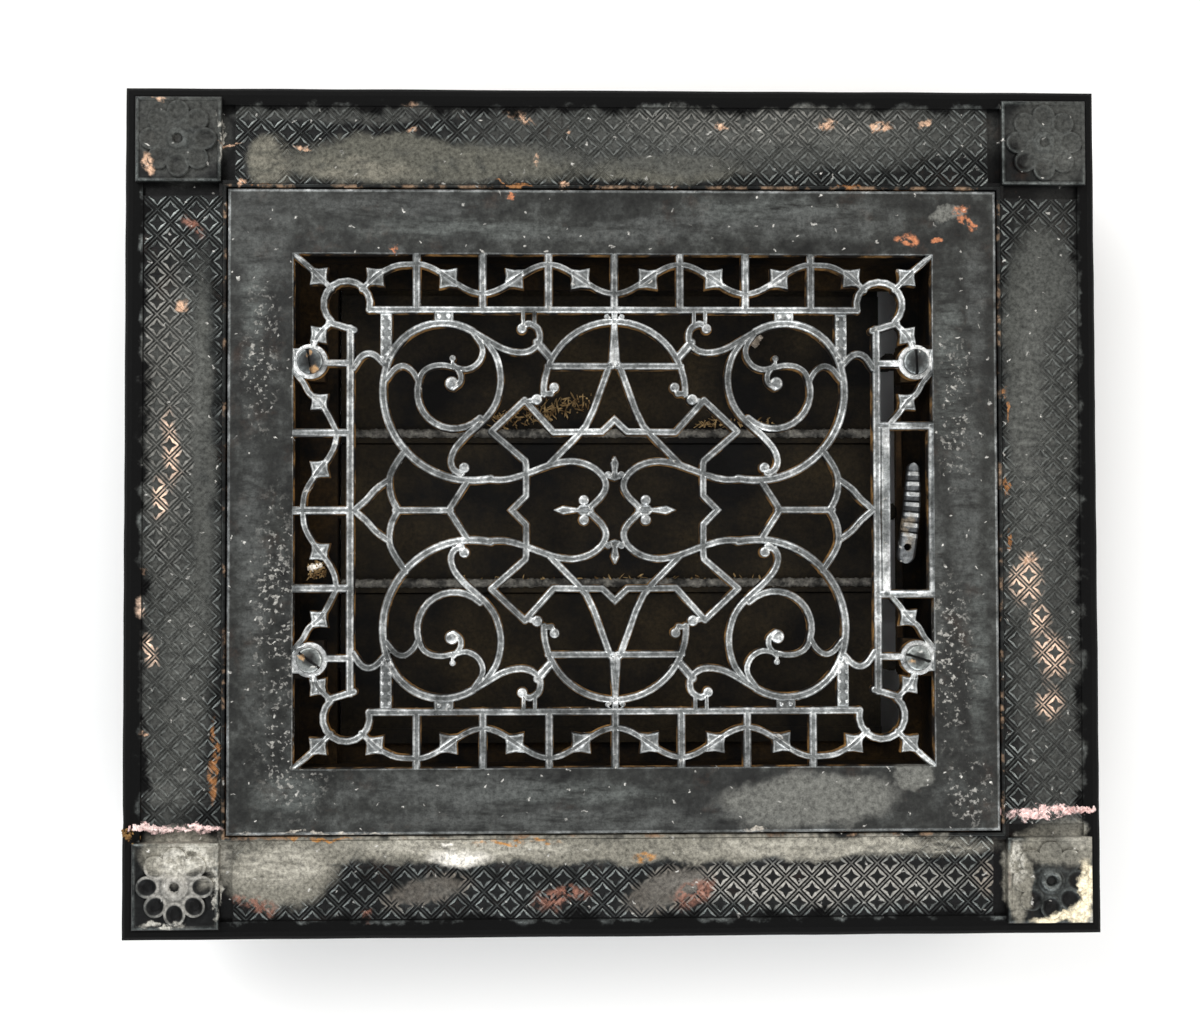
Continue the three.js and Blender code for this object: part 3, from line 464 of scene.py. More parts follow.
    def triangles(chains, fences, loose=()):
        """Triangles between the chains, of which the fences bound the casting."""
        points, edges, fence_edges = [], [], set()
        for number, chain in enumerate([*fences, *chains]):
            start = len(points)
            points.extend(Vector((float(x), float(y))) for x, y in chain)
            if number < len(fences):
                fence_edges.update(range(len(edges), len(edges) + len(chain) - 1))
            edges.extend((k, k + 1) for k in range(start, len(points) - 1))
        points.extend(Vector(p) for p in loose)
        made, made_edges, faces, _, sources, _ = delaunay_2d_cdt(points, edges, [], 0, 1e-4, True)
        made = np.array([tuple(p) for p in made])
        walls = {
            tuple(sorted(e)) for e, s in zip(made_edges, sources) if any(n in fence_edges for n in s)}
        faces = [f for f in faces if len(f) == 3]
        beside = {}
        for n, f in enumerate(faces):
            for a, b in edges_of(f):
                beside.setdefault((min(a, b), max(a, b)), []).append(n)
        corners = made[np.array(faces)]
        middles = corners.mean(1)
        u, w = corners[:, 1] - corners[:, 0], corners[:, 2] - corners[:, 0]
        sizes = np.abs(u[:, 0] * w[:, 1] - u[:, 1] * w[:, 0])
        solid = fields(middles)[-1]
        outside = (middles < 0).any(1) | (middles[:, 0] > px) | (middles[:, 1] > py)
        weight = sizes * np.where(outside, -1, np.sign(solid))
        seen = np.zeros(len(faces), bool)
        kept = []
        for first in range(len(faces)):
            if seen[first]:
                continue
            group, todo = [first], [first]
            seen[first] = True
            while todo:
                f = faces[todo.pop()]
                for a, b in edges_of(f):
                    edge = (min(a, b), max(a, b))
                    if edge in walls:
                        continue
                    for m in beside[edge]:
                        if not seen[m]:
                            seen[m] = True
                            group.append(m)
                            todo.append(m)
            if weight[group].sum() > 0:
                kept.extend(faces[n] for n in group)
        return made, kept

    box = [(0, 0), (px, 0), (px, py), (0, py), (0, 0)]
    outlines = [thinned(c, 0.05) for c in contour(whole.copy(), 0)]
    creases = [thinned(c, 0.06) for values, level in (
        (whole, FLANK), (share, 0.5), (share, 0.8), (flat, 0.75), (flat, 1.3), (bulb, 0.55),
        (bulb, 0.25), (bead, 0.5), (bead, 0), (boss, 1.2)) for c in contour(values.copy(), level)]
    creases += [[(ox + d, 0), (ox + d, oy + d), (0, oy + d)] for d in (0.45, 1.1, 13.0, 24.6, 25.3)]
    made, faces = triangles(creases, [*outlines, box], [(x, y) for x, y, _ in [*bulbs, *beads]])
    tops, on_plate = height(made)
    rim = np.maximum(made[:, 0] - px, made[:, 1] - py)
    relief = np.interp(tops, [SIDE_FOOT, GROOVE, -0.55, -0.3, -0.05, 0.2, 0.3],
                       [0, 0.42, 0.55, 0.78, 0.97, 0.97, 0.78])
    relief = np.where(on_plate > 0.4, np.where((rim > -0.75) | (on_plate < 0.5), 0.75, 0.25), relief)
    tops = np.where(rim > -0.75, PLATE_TOP - 1.1 * (rim + 0.7).clip(0, 0.7), tops + RIB_TOP)
    sides = {}
    for f in faces:
        for a, b in edges_of(f):
            sides.setdefault((min(a, b), max(a, b)), []).append((a, b))
    rims = [
        s[0] for s in sides.values()
        if len(s) == 1 and not any((made[list(s[0]), axis] < 1e-6).all() for axis in (0, 1))
    ]
    step = [(ox + 0.5, 0), (ox + 0.5, oy + 0.5), (0, oy + 0.5)]
    low, low_faces = triangles([step], [*(made[list(r)] for r in rims), box])
    on_plate = plate_depth(low) > 0.5 - 1e-3
    unders = np.where(on_plate, PLATE_UNDER, RIB_UNDER)
    return made, faces, tops, relief, rims, low, low_faces, unders


def outward(mesh, merge=0.0, sliver=0.0):
    """Merges doubles and slivers up to a size, where given, and turns all faces outwards."""
    work = bmesh.new()
    work.from_mesh(mesh)
    if merge:
        bmesh.ops.remove_doubles(work, verts=work.verts, dist=merge)
    if sliver:
        bmesh.ops.dissolve_degenerate(work, dist=sliver, edges=work.edges)
    bmesh.ops.recalc_face_normals(work, faces=work.faces)
    work.to_mesh(mesh)
    work.free()
    return mesh


def face_mesh():
    """The whole face: one quarter for each side, mirrored up and down."""
    verts, faces, reliefs = [], [], []

    def put(points, heights, values, polygons, sx, sy):
        start = len(verts)
        reliefs.extend(values)
        verts.extend((x * sx * MM, y * sy * MM, z * MM) for (x, y), z in zip(points, heights))
        faces.extend(tuple(start + n for n in (reversed(f) if sx * sy < 0 else f)) for f in polygons)

    for sx, lines, flats in ((-1, ribs_left, leaves_left), (1, ribs_right, leaves_right)):
        made, tris, tops, relief, rims, low, low_tris, unders = quarter(lines, flats)
        for sy in (1, -1):
            put(made, tops, relief, tris, sx, sy)
            put(low, unders, [0.0] * len(low), [f[::-1] for f in low_tris], sx, sy)
            for a, b in rims:
                ends = made[[a, b]]
                under = [PLATE_UNDER if p > 0.5 else RIB_UNDER for p in
                         np.maximum(ends[:, 0] - OPENING_HALF[0], ends[:, 1] - OPENING_HALF[1])]
                put([*ends, *ends[::-1]], [tops[a], tops[b], *under[::-1]],
                    [relief[a], relief[b], 0.0, 0.0], [(3, 2, 1, 0)], sx, sy)
    return outward(mesh_of("register_face", verts, faces, reliefs), 2e-6, 1e-6)


def patches(tree, where, spots, soft):
    """A mask of soft ellipses: each is (x, y, half length, half width, degrees), in mm."""
    mask = None
    for x, y, long_half, short_half, turn in spots:
        centred = add(tree, "ShaderNodeMapping", {
            "Vector": where, "Location": (x * MM, y * MM, 0), "Rotation": (0, 0, math.radians(turn)),
            "Scale": (long_half * MM, short_half * MM, 10.0)}, vector_type="TEXTURE")
        inward = add(tree, "ShaderNodeTexGradient", {"Vector": centred}, "Fac",
                     gradient_type="SPHERICAL")
        spot = add(tree, "ShaderNodeMapRange", {"Value": inward, "From Min": 0.0, "From Max": soft},
                   interpolation_type="SMOOTHSTEP")
        mask = spot if mask is None else add(
            tree, "ShaderNodeMath", {0: mask, 1: spot}, operation="MAXIMUM")
    return mask


def beyond(tree, where, half_x, half_y):
    """How far a point lies outside an upright rectangle about the middle, in metres."""
    folded = add(tree, "ShaderNodeVectorMath", {0: where}, operation="ABSOLUTE")
    past = add(tree, "ShaderNodeVectorMath", {0: folded, 1: (half_x * MM, half_y * MM, 0)},
               operation="SUBTRACT")
    along = add(tree, "ShaderNodeSeparateXYZ", {0: past}, "X")
    return add(tree, "ShaderNodeMath", {0: along, 1: along.node.outputs["Y"]}, operation="MAXIMUM")


def tinted(ramp, tones):
    """Gives a colour ramp its tones, each a place from 0 to 1 and a hex code."""
    elements = ramp.node.color_ramp.elements
    while len(elements) < len(tones):
        elements.new(0.5)
    for element, (place, code) in zip(elements, tones):
        element.position = place
        element.color = linear(code)
    return ramp


def weathered_iron(name, tones, coats, rust, specular, side_level=None, seam=None, soot_and_edge_shade=None):
    """Old iron, blackened and worn. The attribute relief is 0 in a hollow and 1 on a proud edge;
    tones run from the one to the other, and coats of other matter lie on top. A coat is its
    colour, what breaks it up, how much it hides, how soft its edge is, and its spots."""
    material, tree, shader = new_material(name)
    where = add(tree, "ShaderNodeTexCoord", None, "Object")
    height = add(tree, "ShaderNodeSeparateXYZ", {0: where}, "Z")
    relief = add(tree, "ShaderNodeAttribute", None, "Fac", attribute_name="relief")
    wiped = add(tree, "ShaderNodeMapping", {
        "Vector": where, "Scale": (1.0, 4.5, 1.0), "Rotation": (0, 0, 0.35)})
    # Scales are clouds per metre: smears of 33 mm, blooms of rust of 14 mm, strokes of 17 by 4 mm,
    # torn edges of 11 mm, patches of 7 mm, crumbs of 3 mm, crackle of 2 mm. The sand's grain is
    # about 0.3 mm on the real casting and is drawn at 1.5 mm, so that it shows.
    cloud = {
        key: add(tree, "ShaderNodeTexNoise", {
            "Vector": vector, "Scale": per_metre, "Detail": detail, "Roughness": rough})
        for key, vector, per_metre, detail, rough in (
            ("broad", where, 30.0, 6.0, 0.62), ("patchy", where, 150.0, 5.0, 0.6),
            ("sand", where, 650.0, 4.0, 0.7), ("rusty", where, 70.0, 7.0, 0.7),
            ("strokes", wiped, 60.0, 6.0, 0.68), ("crumbs", where, 330.0, 4.0, 0.62),
            ("crackle", where, 480.0, 3.0, 0.6), ("torn", where, 90.0, 5.0, 0.6))}
    level = {
        key: add(tree, "ShaderNodeMapRange", {
            "Value": value, "From Min": low, "From Max": high, "To Min": at_low, "To Max": at_high})
        for key, value, low, high, at_low, at_high in (
            ("unsure", cloud["patchy"], 0.25, 0.75, -0.2, 0.2),
            ("dusk", cloud["broad"], 0.36, 0.64, 0.55, 1.5),
            ("grain", cloud["sand"], 0.3, 0.7, 0.42, 1.68),
            ("rusty", cloud["rusty"], 0.56, 0.72, 0.0, rust),
            ("sunk", relief, 0.9, 0.2, 0.1, 1.0), ("strokes", cloud["strokes"], 0.36, 0.6, 0.0, 1.0),
            ("crumbs", cloud["crumbs"], 0.42, 0.54, 0.0, 1.0),
            ("dense", cloud["torn"], 0.3, 0.44, 0.3, 1.0),
            ("crackle", cloud["crackle"], 0.56, 0.64, 0.0, 1.0),
            ("rare", cloud["torn"], 0.5, 0.58, 0.0, 1.0),
            ("proud", relief, 0.45, 0.85, 0.0, 1.0), ("metal", relief, 0.35, 0.95, 0.1, 0.65),
            ("gloss", relief, 0.2, 1.0, 0.5, 0.34), ("smear", cloud["patchy"], 0.3, 0.7, -0.1, 0.12))}

    tone = add(tree, "ShaderNodeMath", {0: relief, 1: level["unsure"]}, operation="ADD")
    colour = tinted(add(tree, "ShaderNodeValToRGB", {"Fac": tone}), tones)
    colour = add(tree, "ShaderNodeVectorMath", {0: colour, "Scale": level["dusk"]}, operation="SCALE")
    torn = add(tree, "ShaderNodeVectorMath", {0: cloud["torn"].node.outputs["Color"], 1: (0.5, 0.5, 0.5)},
               operation="SUBTRACT")
    ragged = add(tree, "ShaderNodeVectorMath", {0: torn, 1: (0.012, 0.012, 0.0), 2: where},
                 operation="MULTIPLY_ADD")

    layers = [(colour, 0.0)]

    def lay(mask, over, dullness):
        """Lays one coat over those before it; a dull coat hides the gleam of the iron."""
        under, dull = layers[-1]
        seen = add(tree, "ShaderNodeMix", {"Factor": mask, 6: under, 7: over}, 2, data_type="RGBA")
        matt = add(tree, "ShaderNodeMath", {0: mask, 1: dullness}, operation="MULTIPLY")
        layers.append((seen, add(tree, "ShaderNodeMath", {0: matt, 1: dull}, operation="MAXIMUM")))

    lay(add(tree, "ShaderNodeMath", {0: level["rusty"], 1: level["sunk"]}, operation="MULTIPLY"),
        linear("#3A2314"), 1.0)
    if side_level is not None:
        side = add(tree, "ShaderNodeMapRange", {
            "Value": height, "From Min": side_level * MM, "From Max": (side_level - 0.7) * MM})
        lay(side, tinted(add(tree, "ShaderNodeValToRGB", {"Fac": cloud["torn"]}),
                         [(0.46, "#140D07"), (0.64, "#97713F")]), 1.0)
    for code, texture, amount, soft, spots in coats:
        spot = patches(tree, ragged, spots, soft)
        broken = add(tree, "ShaderNodeMath", {0: spot, 1: level[texture]}, operation="MULTIPLY")
        lay(add(tree, "ShaderNodeMath", {0: broken, 1: amount}, operation="MULTIPLY"), linear(code), 0.9)
    if seam is not None:
        gap = add(tree, "ShaderNodeMath", {0: beyond(tree, where, *seam)}, operation="ABSOLUTE")
        near = add(tree, "ShaderNodeMapRange", {
            "Value": gap, "From Min": 1.8 * MM, "From Max": 0.6 * MM})
        fluff = add(tree, "ShaderNodeMath", {0: near, 1: level["rare"]}, operation="MULTIPLY")
        fluff = add(tree, "ShaderNodeMath", {0: fluff, 1: level["crumbs"]}, operation="MULTIPLY")
        lay(fluff, linear("#77624F"), 0.9)
    # Specks of whitewash, one in every other cell of about 8 mm
    spray = add(tree, "ShaderNodeTexVoronoi", {"Vector": ragged, "Scale": 120.0},
                voronoi_dimensions="2D")
    dot = add(tree, "ShaderNodeMapRange", {"Value": spray, "From Min": 0.07, "From Max": 0.03})
    drawn = add(tree, "ShaderNodeSeparateColor", {0: spray.node.outputs["Color"]})
    chosen = add(tree, "ShaderNodeMath", {0: drawn, 1: 0.5}, operation="GREATER_THAN")
    dots = add(tree, "ShaderNodeMath", {0: dot, 1: chosen}, operation="MULTIPLY")
    dots = add(tree, "ShaderNodeMath", {0: dots, 1: level["strokes"]}, operation="MULTIPLY")
    lay(dots, linear("#BDBBB5"), 0.3)
    # Painted shade: near black is laid over the steep outer edge and the outermost lattice, below the rim's
    # top, where the roll-over lies in shade.
    if soot_and_edge_shade is not None:
        half_x, half_y, start, end, top = soot_and_edge_shade
        drift = add(tree, "ShaderNodeMath", {
            0: cloud["torn"], 1: 0.02, 2: beyond(tree, where, half_x, half_y)}, operation="MULTIPLY_ADD")
        outer = add(tree, "ShaderNodeMapRange", {
            "Value": drift, "From Min": (start + 10) * MM, "From Max": (end + 10) * MM},
            interpolation_type="SMOOTHSTEP")
        below = add(tree, "ShaderNodeMapRange", {
            "Value": height, "From Min": (top + 0.4) * MM, "From Max": (top - 0.4) * MM})
        painted_edge_shade = add(tree, "ShaderNodeMath", {0: outer, 1: below}, operation="MULTIPLY")
        lay(painted_edge_shade, linear("#020202"), 1.0)

    colour, dull = layers[-1]
    colour = add(tree, "ShaderNodeVectorMath", {0: colour, "Scale": level["grain"]}, operation="SCALE")
    tree.links.new(colour, shader.inputs["Base Color"])
    bare = add(tree, "ShaderNodeMapRange", {
        "Value": dull, "From Min": 0.0, "From Max": 0.6, "To Min": 1.0, "To Max": 0.0})
    metal = add(tree, "ShaderNodeMath", {0: level["metal"], 1: bare}, operation="MULTIPLY")
    tree.links.new(metal, shader.inputs["Metallic"])
    gloss = add(tree, "ShaderNodeMath", {0: level["gloss"], 1: level["smear"]}, operation="ADD")
    matt = add(tree, "ShaderNodeMapRange", {
        "Value": dull, "From Min": 0.0, "From Max": 0.8, "To Min": 0.25, "To Max": 0.85})
    rough = add(tree, "ShaderNodeMath", {0: gloss, 1: matt}, operation="MAXIMUM")
    tree.links.new(rough, shader.inputs["Roughness"])
    shader.inputs["Specular IOR Level"].default_value = specular
    dents = add(tree, "ShaderNodeBump", {
        "Height": cloud["patchy"], "Strength": 0.5, "Distance": 0.35 * MM})
    grains = add(tree, "ShaderNodeBump", {
        "Height": cloud["sand"], "Normal": dents, "Strength": 0.55, "Distance": 0.12 * MM})
    tree.links.new(grains, shader.inputs["Normal"])
    return material


# Grey iron that feet and hands have rubbed: bright ridges, worn and with a painted highlight,
# black grooves, a dull grey plate with smears of paler grime, and brown sides
face_iron = weathered_iron(
    "cast iron, handled face",
    # The top two tones, on the ridge tops, are worn iron and a painted highlight.
    [(0.0, "#070707"), (0.25, "#20211F"), (0.5, "#424442"), (0.78, "#7C7F7F"), (1.0, "#D4D6D5")],
    [("#62625D", "dense", 0.95, 0.3, [(77, -115, 41, 12, 3), (118, -105, 10, 9, 0), (135, 119, 9, 4, 10)]),
     ("#5E625F", "strokes", 0.6, 0.8, [
         (133, 60, 9, 50, 0), (145, -60, 6, 50, 0), (-60, 112, 70, 6, 0), (60, 120, 50, 6, 0),
         (-143, 80, 7, 40, 0), (-130, -112, 20, 12, 0), (-20, -112, 60, 6, 0)]),
     ("#4A4C4A", "strokes", 0.75, 0.7, [
         (-140, 108, 16, 26, 0), (140, 10, 9, 70, 0), (128, -30, 5, 50, 0), (-20, -122, 110, 8, 0),
         (-90, 121, 60, 6, 0), (20, 112, 70, 7, 4), (-144, -20, 8, 70, 0), (-60, -110, 60, 9, 0),
         (145, 80, 6, 40, 0), (80, 115, 50, 10, 0)]),
     ("#9A9892", "crackle", 0.95, 0.9, [
         (-128, -95, 19, 34, 8), (-134, -40, 12, 60, 0), (133, -60, 14, 45, 0), (-140, 60, 10, 40, 0),
         (140, -112, 12, 20, 0), (136, 40, 10, 40, 0)]),
     ("#B5AEA2", "crumbs", 0.9, 0.5, [
         (55, -126, 6, 1.6, -12), (-145, -126.4, 3, 1, 0), (-107, -127, 30, 0.8, 0)]),
     ("#B0714E", "crumbs", 0.95, 0.4, [
         (139, 120.5, 5, 3, 10), (141.5, 115, 3.6, 2.6, -60), (117, 107.5, 6, 3, -8),
         (129, 109, 2.6, 1.3, 0),
         (-40, 125, 2.4, 1.6, 0), (-88, 104.5, 1.6, 2, 0), (-120, -76, 1.5, 4, 20)])],
    0.35, 0.3, side_level=RIB_TOP - 0.5)
face = placed("register_face", face_mesh(), face_iron)
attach(face, "root")
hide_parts("register_grille")


# The border frame: one grey iron casting round the face, a lattice of small raised diamonds on
# each bar, four corner blocks with eight-petalled rosettes, and an inner ledge that carries the
# face. Its outer edge rolls over steeply and is painted nearly black as shade, and a film of old
# paint and plaster has filled the lattice along the upper bar and beside the face.
border_low, border_high = corners_mm("border_frame")
SEAM = 0.8
REBATE = (PLATE_HALF[0] + SEAM, PLATE_HALF[1] + SEAM)
RIM_TOP = PLATE_UNDER + 3.3
BORDER_FALL = 2.0
SHOULDER = 34.5
LEDGE_TOP = PLATE_UNDER - 0.3
LEDGE_REACH = 20.5
LEDGE_THICK = 4
FOOT_INSIDE = 36
DRIFT = 0.16  # how far the parting line of the mould wanders in and out
CHIP_DEEP, CHIP_HALF, CHIP_Y = 1.5, 1.6, -125.5  # where the lower left block meets its bar
FOOT = border_low[2]
BAR = border_high[0] - REBATE[0]
RELIEF = 0.7
FILLET = 1.3
LATTICE_WIDE = SHOULDER - 2.1 - FILLET
PITCH = 10.4
BLOCK_TOP = RIM_TOP + 1.0
BLOCK_AT = 19.0
BLOCK_HALF = 17.0
FILLED = [
    # x, y, half length, half width, degrees
    (-73, 138.5, 78, 10.5, 0), (-88, 143, 34, 9, 0), (-139, 139, 10, 12, 0), (20, 137, 30, 7, 0),
    (-15, -133.5, 168, 8.5, 0), (-132, -143, 26, 15, 8), (-172, -132, 20, 13, 0), (180, -133, 20, 12, 0),
    (172, 92, 16, 26, 0), (164, 62, 10, 60, 0), (20, -150, 22, 9, 20), (-75, -150, 20, 7, 10),
    (-162, 30, 6, 90, 0),
]


def filled(x, y):
    """How far the relief at a point of the border is filled up, from 0 to 1."""
    most = 0.0
    for centre_x, centre_y, long_half, short_half, turn in FILLED:
        c, s = math.cos(math.radians(turn)), math.sin(math.radians(turn))
        u, v = x - centre_x, y - centre_y
        reach = math.hypot((u * c + v * s) / long_half, (v * c - u * s) / short_half)
        most = max(most, min(1.0, max(0.0, (1 - reach) / 0.4)))
    return most * most * (3 - 2 * most)


def fall(d):
    """How far the top of a bar has fallen at a distance from its inner edge."""
    return BORDER_FALL * d / SHOULDER


def tube(rows, count, start=0, ends=False):
    """Faces that join rings of points, each ring to the next, and close the ends if wanted."""
    faces = []
    for n in range(rows):
        for k in range(count):
            a, b = start + n * count + k, start + n * count + (k + 1) % count
            faces.append((a, b, b + count, a + count))
    if ends:
        faces += [tuple(range(count)), tuple(rows * count + k for k in range(count - 1, -1, -1))]
    return faces


def border_body():
    """The moulded frame without its lattice, with an outer edge that wanders a little."""
    section = [
        (-LEDGE_REACH, LEDGE_TOP - LEDGE_THICK), (2, LEDGE_TOP - LEDGE_THICK), (31.5, RIM_TOP - 6.5),
        (FOOT_INSIDE, FOOT + 3), (FOOT_INSIDE, FOOT),
        (BAR - 0.3, FOOT), (BAR, FOOT + 0.6), (BAR - 0.4, FOOT + 3.5), (BAR - 1.0, FOOT + 5.4),
        (BAR - 2.2, FOOT + 7.1), (BAR - 4.3, FOOT + 8.6), (SHOULDER + 0.6, RIM_TOP - 2.08),
        (SHOULDER - 0.2, RIM_TOP - 1.98), (SHOULDER - 1.1, RIM_TOP - 2.05),
        (SHOULDER - 1.5, RIM_TOP - RELIEF - fall(33)), (FILLET + 0.35, RIM_TOP - RELIEF - fall(FILLET)),
        (FILLET, RIM_TOP - 0.15), (FILLET - 0.3, RIM_TOP), (0.3, RIM_TOP), (0, RIM_TOP - 0.3),
        (0, LEDGE_TOP), (-LEDGE_REACH, LEDGE_TOP),
    ]
    wander = random.Random(4)
    waves = [(wander.uniform(0.02, 0.16), wander.uniform(0, 6.28)) for _ in range(6)]
    verts, faces = [], []
    for turn, (along, across) in enumerate(((0, 1), (1, 0), (0, 1), (1, 0))):
        sign = 1 if turn < 2 else -1
        stations = int(2 * REBATE[along] / 5)
        for n in range(stations + 1):
            t = -1 + 2 * n / stations
            for d, z in section:
                point = [0, 0, z]
                point[along] = t * (REBATE[along] + d)
                point[across] = sign * (REBATE[across] + d)
                if d > SHOULDER + 1:
                    drift = sum(math.sin(f * (point[0] - 1.7 * point[1]) + k) for f, k in waves) / 6
                    chip = CHIP_DEEP * math.exp(-((point[1] - CHIP_Y) / CHIP_HALF) ** 2) * (point[0] < -190)
                    for axis, inward in ((0, DRIFT + DRIFT * drift + chip), (1, DRIFT + DRIFT * drift)):
                        if abs(point[axis]) > REBATE[axis] + SHOULDER:
                            point[axis] -= math.copysign(inward, point[axis])
                verts.append([v * MM for v in point])
        faces += tube(stations, len(section), len(verts) - (stations + 1) * len(section))
    return outward(mesh_of("border_body", verts, faces), 1e-5)


def block_mesh(name, low, high):
    """A plain block between two corners, in mm, for cutting with."""
    mesh = bpy.data.meshes.new(name)
    work = bmesh.new()
    bmesh.ops.create_cube(work, size=1)
    for v in work.verts:
        v.co = [MM * (a + (b - a) * (c + 0.5)) for a, b, c in zip(low, high, v.co)]
    work.to_mesh(mesh)
    work.free()
    return mesh


def plain(made, *spent):
    """An object's mesh as its modifiers leave it; the objects that made it are removed."""
    mesh = bpy.data.meshes.new_from_object(made.evaluated_get(bpy.context.evaluated_depsgraph_get()))
    for done in (made, *spent):
        bpy.data.objects.remove(done)
    return mesh


def cut_out(body, cutters):
    """The mesh of a body with all the cutters taken out of it."""
    for cutter in cutters:
        cut = body.modifiers.new(cutter.name, "BOOLEAN")
        cut.object = cutter
        cut.solver = "EXACT"
    return plain(body, *cutters)


# A channel sinks beside the two sides of each corner block that face the bars
channels = []
for sx in (-1, 1):
    for sy in (-1, 1):
        for flip in (False, True):
            spans = [(-3.0, 2.5), (3.0, 33.5)]
            spans = spans[::-1] if flip else spans
            xs = sorted(sx * (REBATE[0] + d) for d in spans[0])
            ys = sorted(sy * (REBATE[1] + d) for d in spans[1])
            channels.append(placed("channel", block_mesh(
                "channel", (xs[0], ys[0], RIM_TOP - 4.0), (xs[1], ys[1], RIM_TOP + 1))))
body_mesh = cut_out(placed("border_body", border_body()), channels)

# One cell of the lattice: a fine raised line round a diamond whose hollow is a four-pointed star
SIDE = PITCH / 2
DIAGONAL = 0.707
CELL_RINGS = [
    # reach along the axes and along the diagonals, height
    (SIDE - 0.02, DIAGONAL * SIDE - 0.02, -1.0), (SIDE - 0.02, DIAGONAL * SIDE - 0.02, -0.22),
    (SIDE - 0.35, DIAGONAL * (SIDE - 0.35), -0.25), (SIDE - 0.55, DIAGONAL * (SIDE - 0.55), -0.62),
    (SIDE - 1.1, DIAGONAL * (SIDE - 1.1), -0.62), (SIDE - 1.45, DIAGONAL * (SIDE - 1.45), -0.1),
    (SIDE - 1.75, DIAGONAL * (SIDE - 1.85), 0.0), (SIDE - 2.05, 1.75, -0.06), (SIDE - 2.3, 1.2, -0.52),
]
cell_verts = []
for axial, diagonal, z in CELL_RINGS:
    for k in range(8):
        r = (axial, diagonal)[k % 2] * MM
        cell_verts.append((r * math.cos(k * math.pi / 4), r * math.sin(k * math.pi / 4), z * MM))
cell_verts.append((0, 0, -0.55 * MM))
last_ring = 8 * (len(CELL_RINGS) - 1)
cell_faces = [tuple(range(7, -1, -1)), *tube(len(CELL_RINGS) - 1, 8)]
cell_faces += [(last_ring + k, last_ring + (k + 1) % 8, len(cell_verts) - 1) for k in range(8)]
cell = placed("lattice_cell", mesh_of("lattice_cell", cell_verts, cell_faces))

def new_tree(name, **kinds):
    """A tree of Geometry Nodes that sets a piece on points, with the given inputs besides its
    piece and its finish: the tree, each input's identifier, and what the inputs give."""
    tree = bpy.data.node_groups.new(name, "GeometryNodeTree")
    kinds = {"Geometry": "Geometry", "Piece": "Object", "Finish": "Material", **kinds}
    sockets = {
        key: tree.interface.new_socket(key, in_out="INPUT", socket_type=f"NodeSocket{kind}").identifier
        for key, kind in kinds.items()}
    tree.interface.new_socket("Geometry", in_out="OUTPUT", socket_type="NodeSocketGeometry")
    return tree, sockets, add(tree, "NodeGroupInput").node.outputs


def end_tree(tree, given, points, turned):
    """Ends a tree: its piece on each point, made real, with its finish."""
    shape = add(tree, "GeometryNodeObjectInfo", {"Object": given["Piece"]}, "Geometry")
    laid = add(tree, "GeometryNodeInstanceOnPoints", {"Points": points, "Instance": shape, **turned})
    real = add(tree, "GeometryNodeRealizeInstances", {"Geometry": laid})
    finish = add(tree, "GeometryNodeSetMaterial", {"Geometry": real, "Material": given["Finish"]})
    add(tree, "NodeGroupOutput", {"Geometry": finish})


def grown(name, tree, sockets, inputs):
    """The plain mesh that a tree makes with its inputs."""
    bare = placed(name, bpy.data.meshes.new(name))
    maker = bare.modifiers.new(name, "NODES")
    maker.node_group = tree
    for key, value in inputs.items():
        maker[sockets[key]] = value
    bpy.context.view_layer.update()
    return plain(bare)


# The tree lays the cells out in two staggered grids
lattice_tree, lattice_sockets, given = new_tree(
    "border_lattice", Pitch="Float", Columns="Int", Rows="Int")
both = add(lattice_tree, "GeometryNodeJoinGeometry")
for extra in (0.0, 1.0):
    counts, spans = [], []
    for key in ("Columns", "Rows"):
        count = add(lattice_tree, "ShaderNodeMath", {0: given[key], 1: extra}, operation="ADD")
        gaps = add(lattice_tree, "ShaderNodeMath", {0: count, 1: 1.0}, operation="SUBTRACT")
        counts.append(count)
        spans.append(add(
            lattice_tree, "ShaderNodeMath", {0: gaps, 1: given["Pitch"]}, operation="MULTIPLY"))
    grid = add(lattice_tree, "GeometryNodeMeshGrid", {
        "Size X": spans[0], "Size Y": spans[1], "Vertices X": counts[0], "Vertices Y": counts[1]})
    lattice_tree.links.new(grid, both.node.inputs["Geometry"])
end_tree(lattice_tree, given, both, {})


def lattice(half_length):
    """A strip of the lattice, cut to a bar's length and width, lying along X and centred."""
    mesh = grown("lattice", lattice_tree, lattice_sockets, {
        "Piece": cell, "Finish": border_iron, "Pitch": PITCH * MM,
        "Columns": int(2 * half_length / PITCH) + 1, "Rows": 3})
    width = LATTICE_WIDE / 2
    work = bmesh.new()
    work.from_mesh(mesh)
    for axis, limit in ((0, half_length), (1, width)):
        for sign in (-1, 1):
            normal = [0, 0, 0]
            normal[axis] = sign
            cut = bmesh.ops.bisect_plane(
                work, geom=[*work.verts, *work.edges, *work.faces], dist=1e-7,
                plane_co=[sign * limit * MM if k == axis else 0 for k in range(3)], plane_no=normal,
                clear_outer=True)
            edges = [e for e in cut["geom_cut"] if isinstance(e, bmesh.types.BMEdge)]
            bmesh.ops.holes_fill(work, edges=edges, sides=0)
    work.to_mesh(mesh)
    work.free()
    return mesh


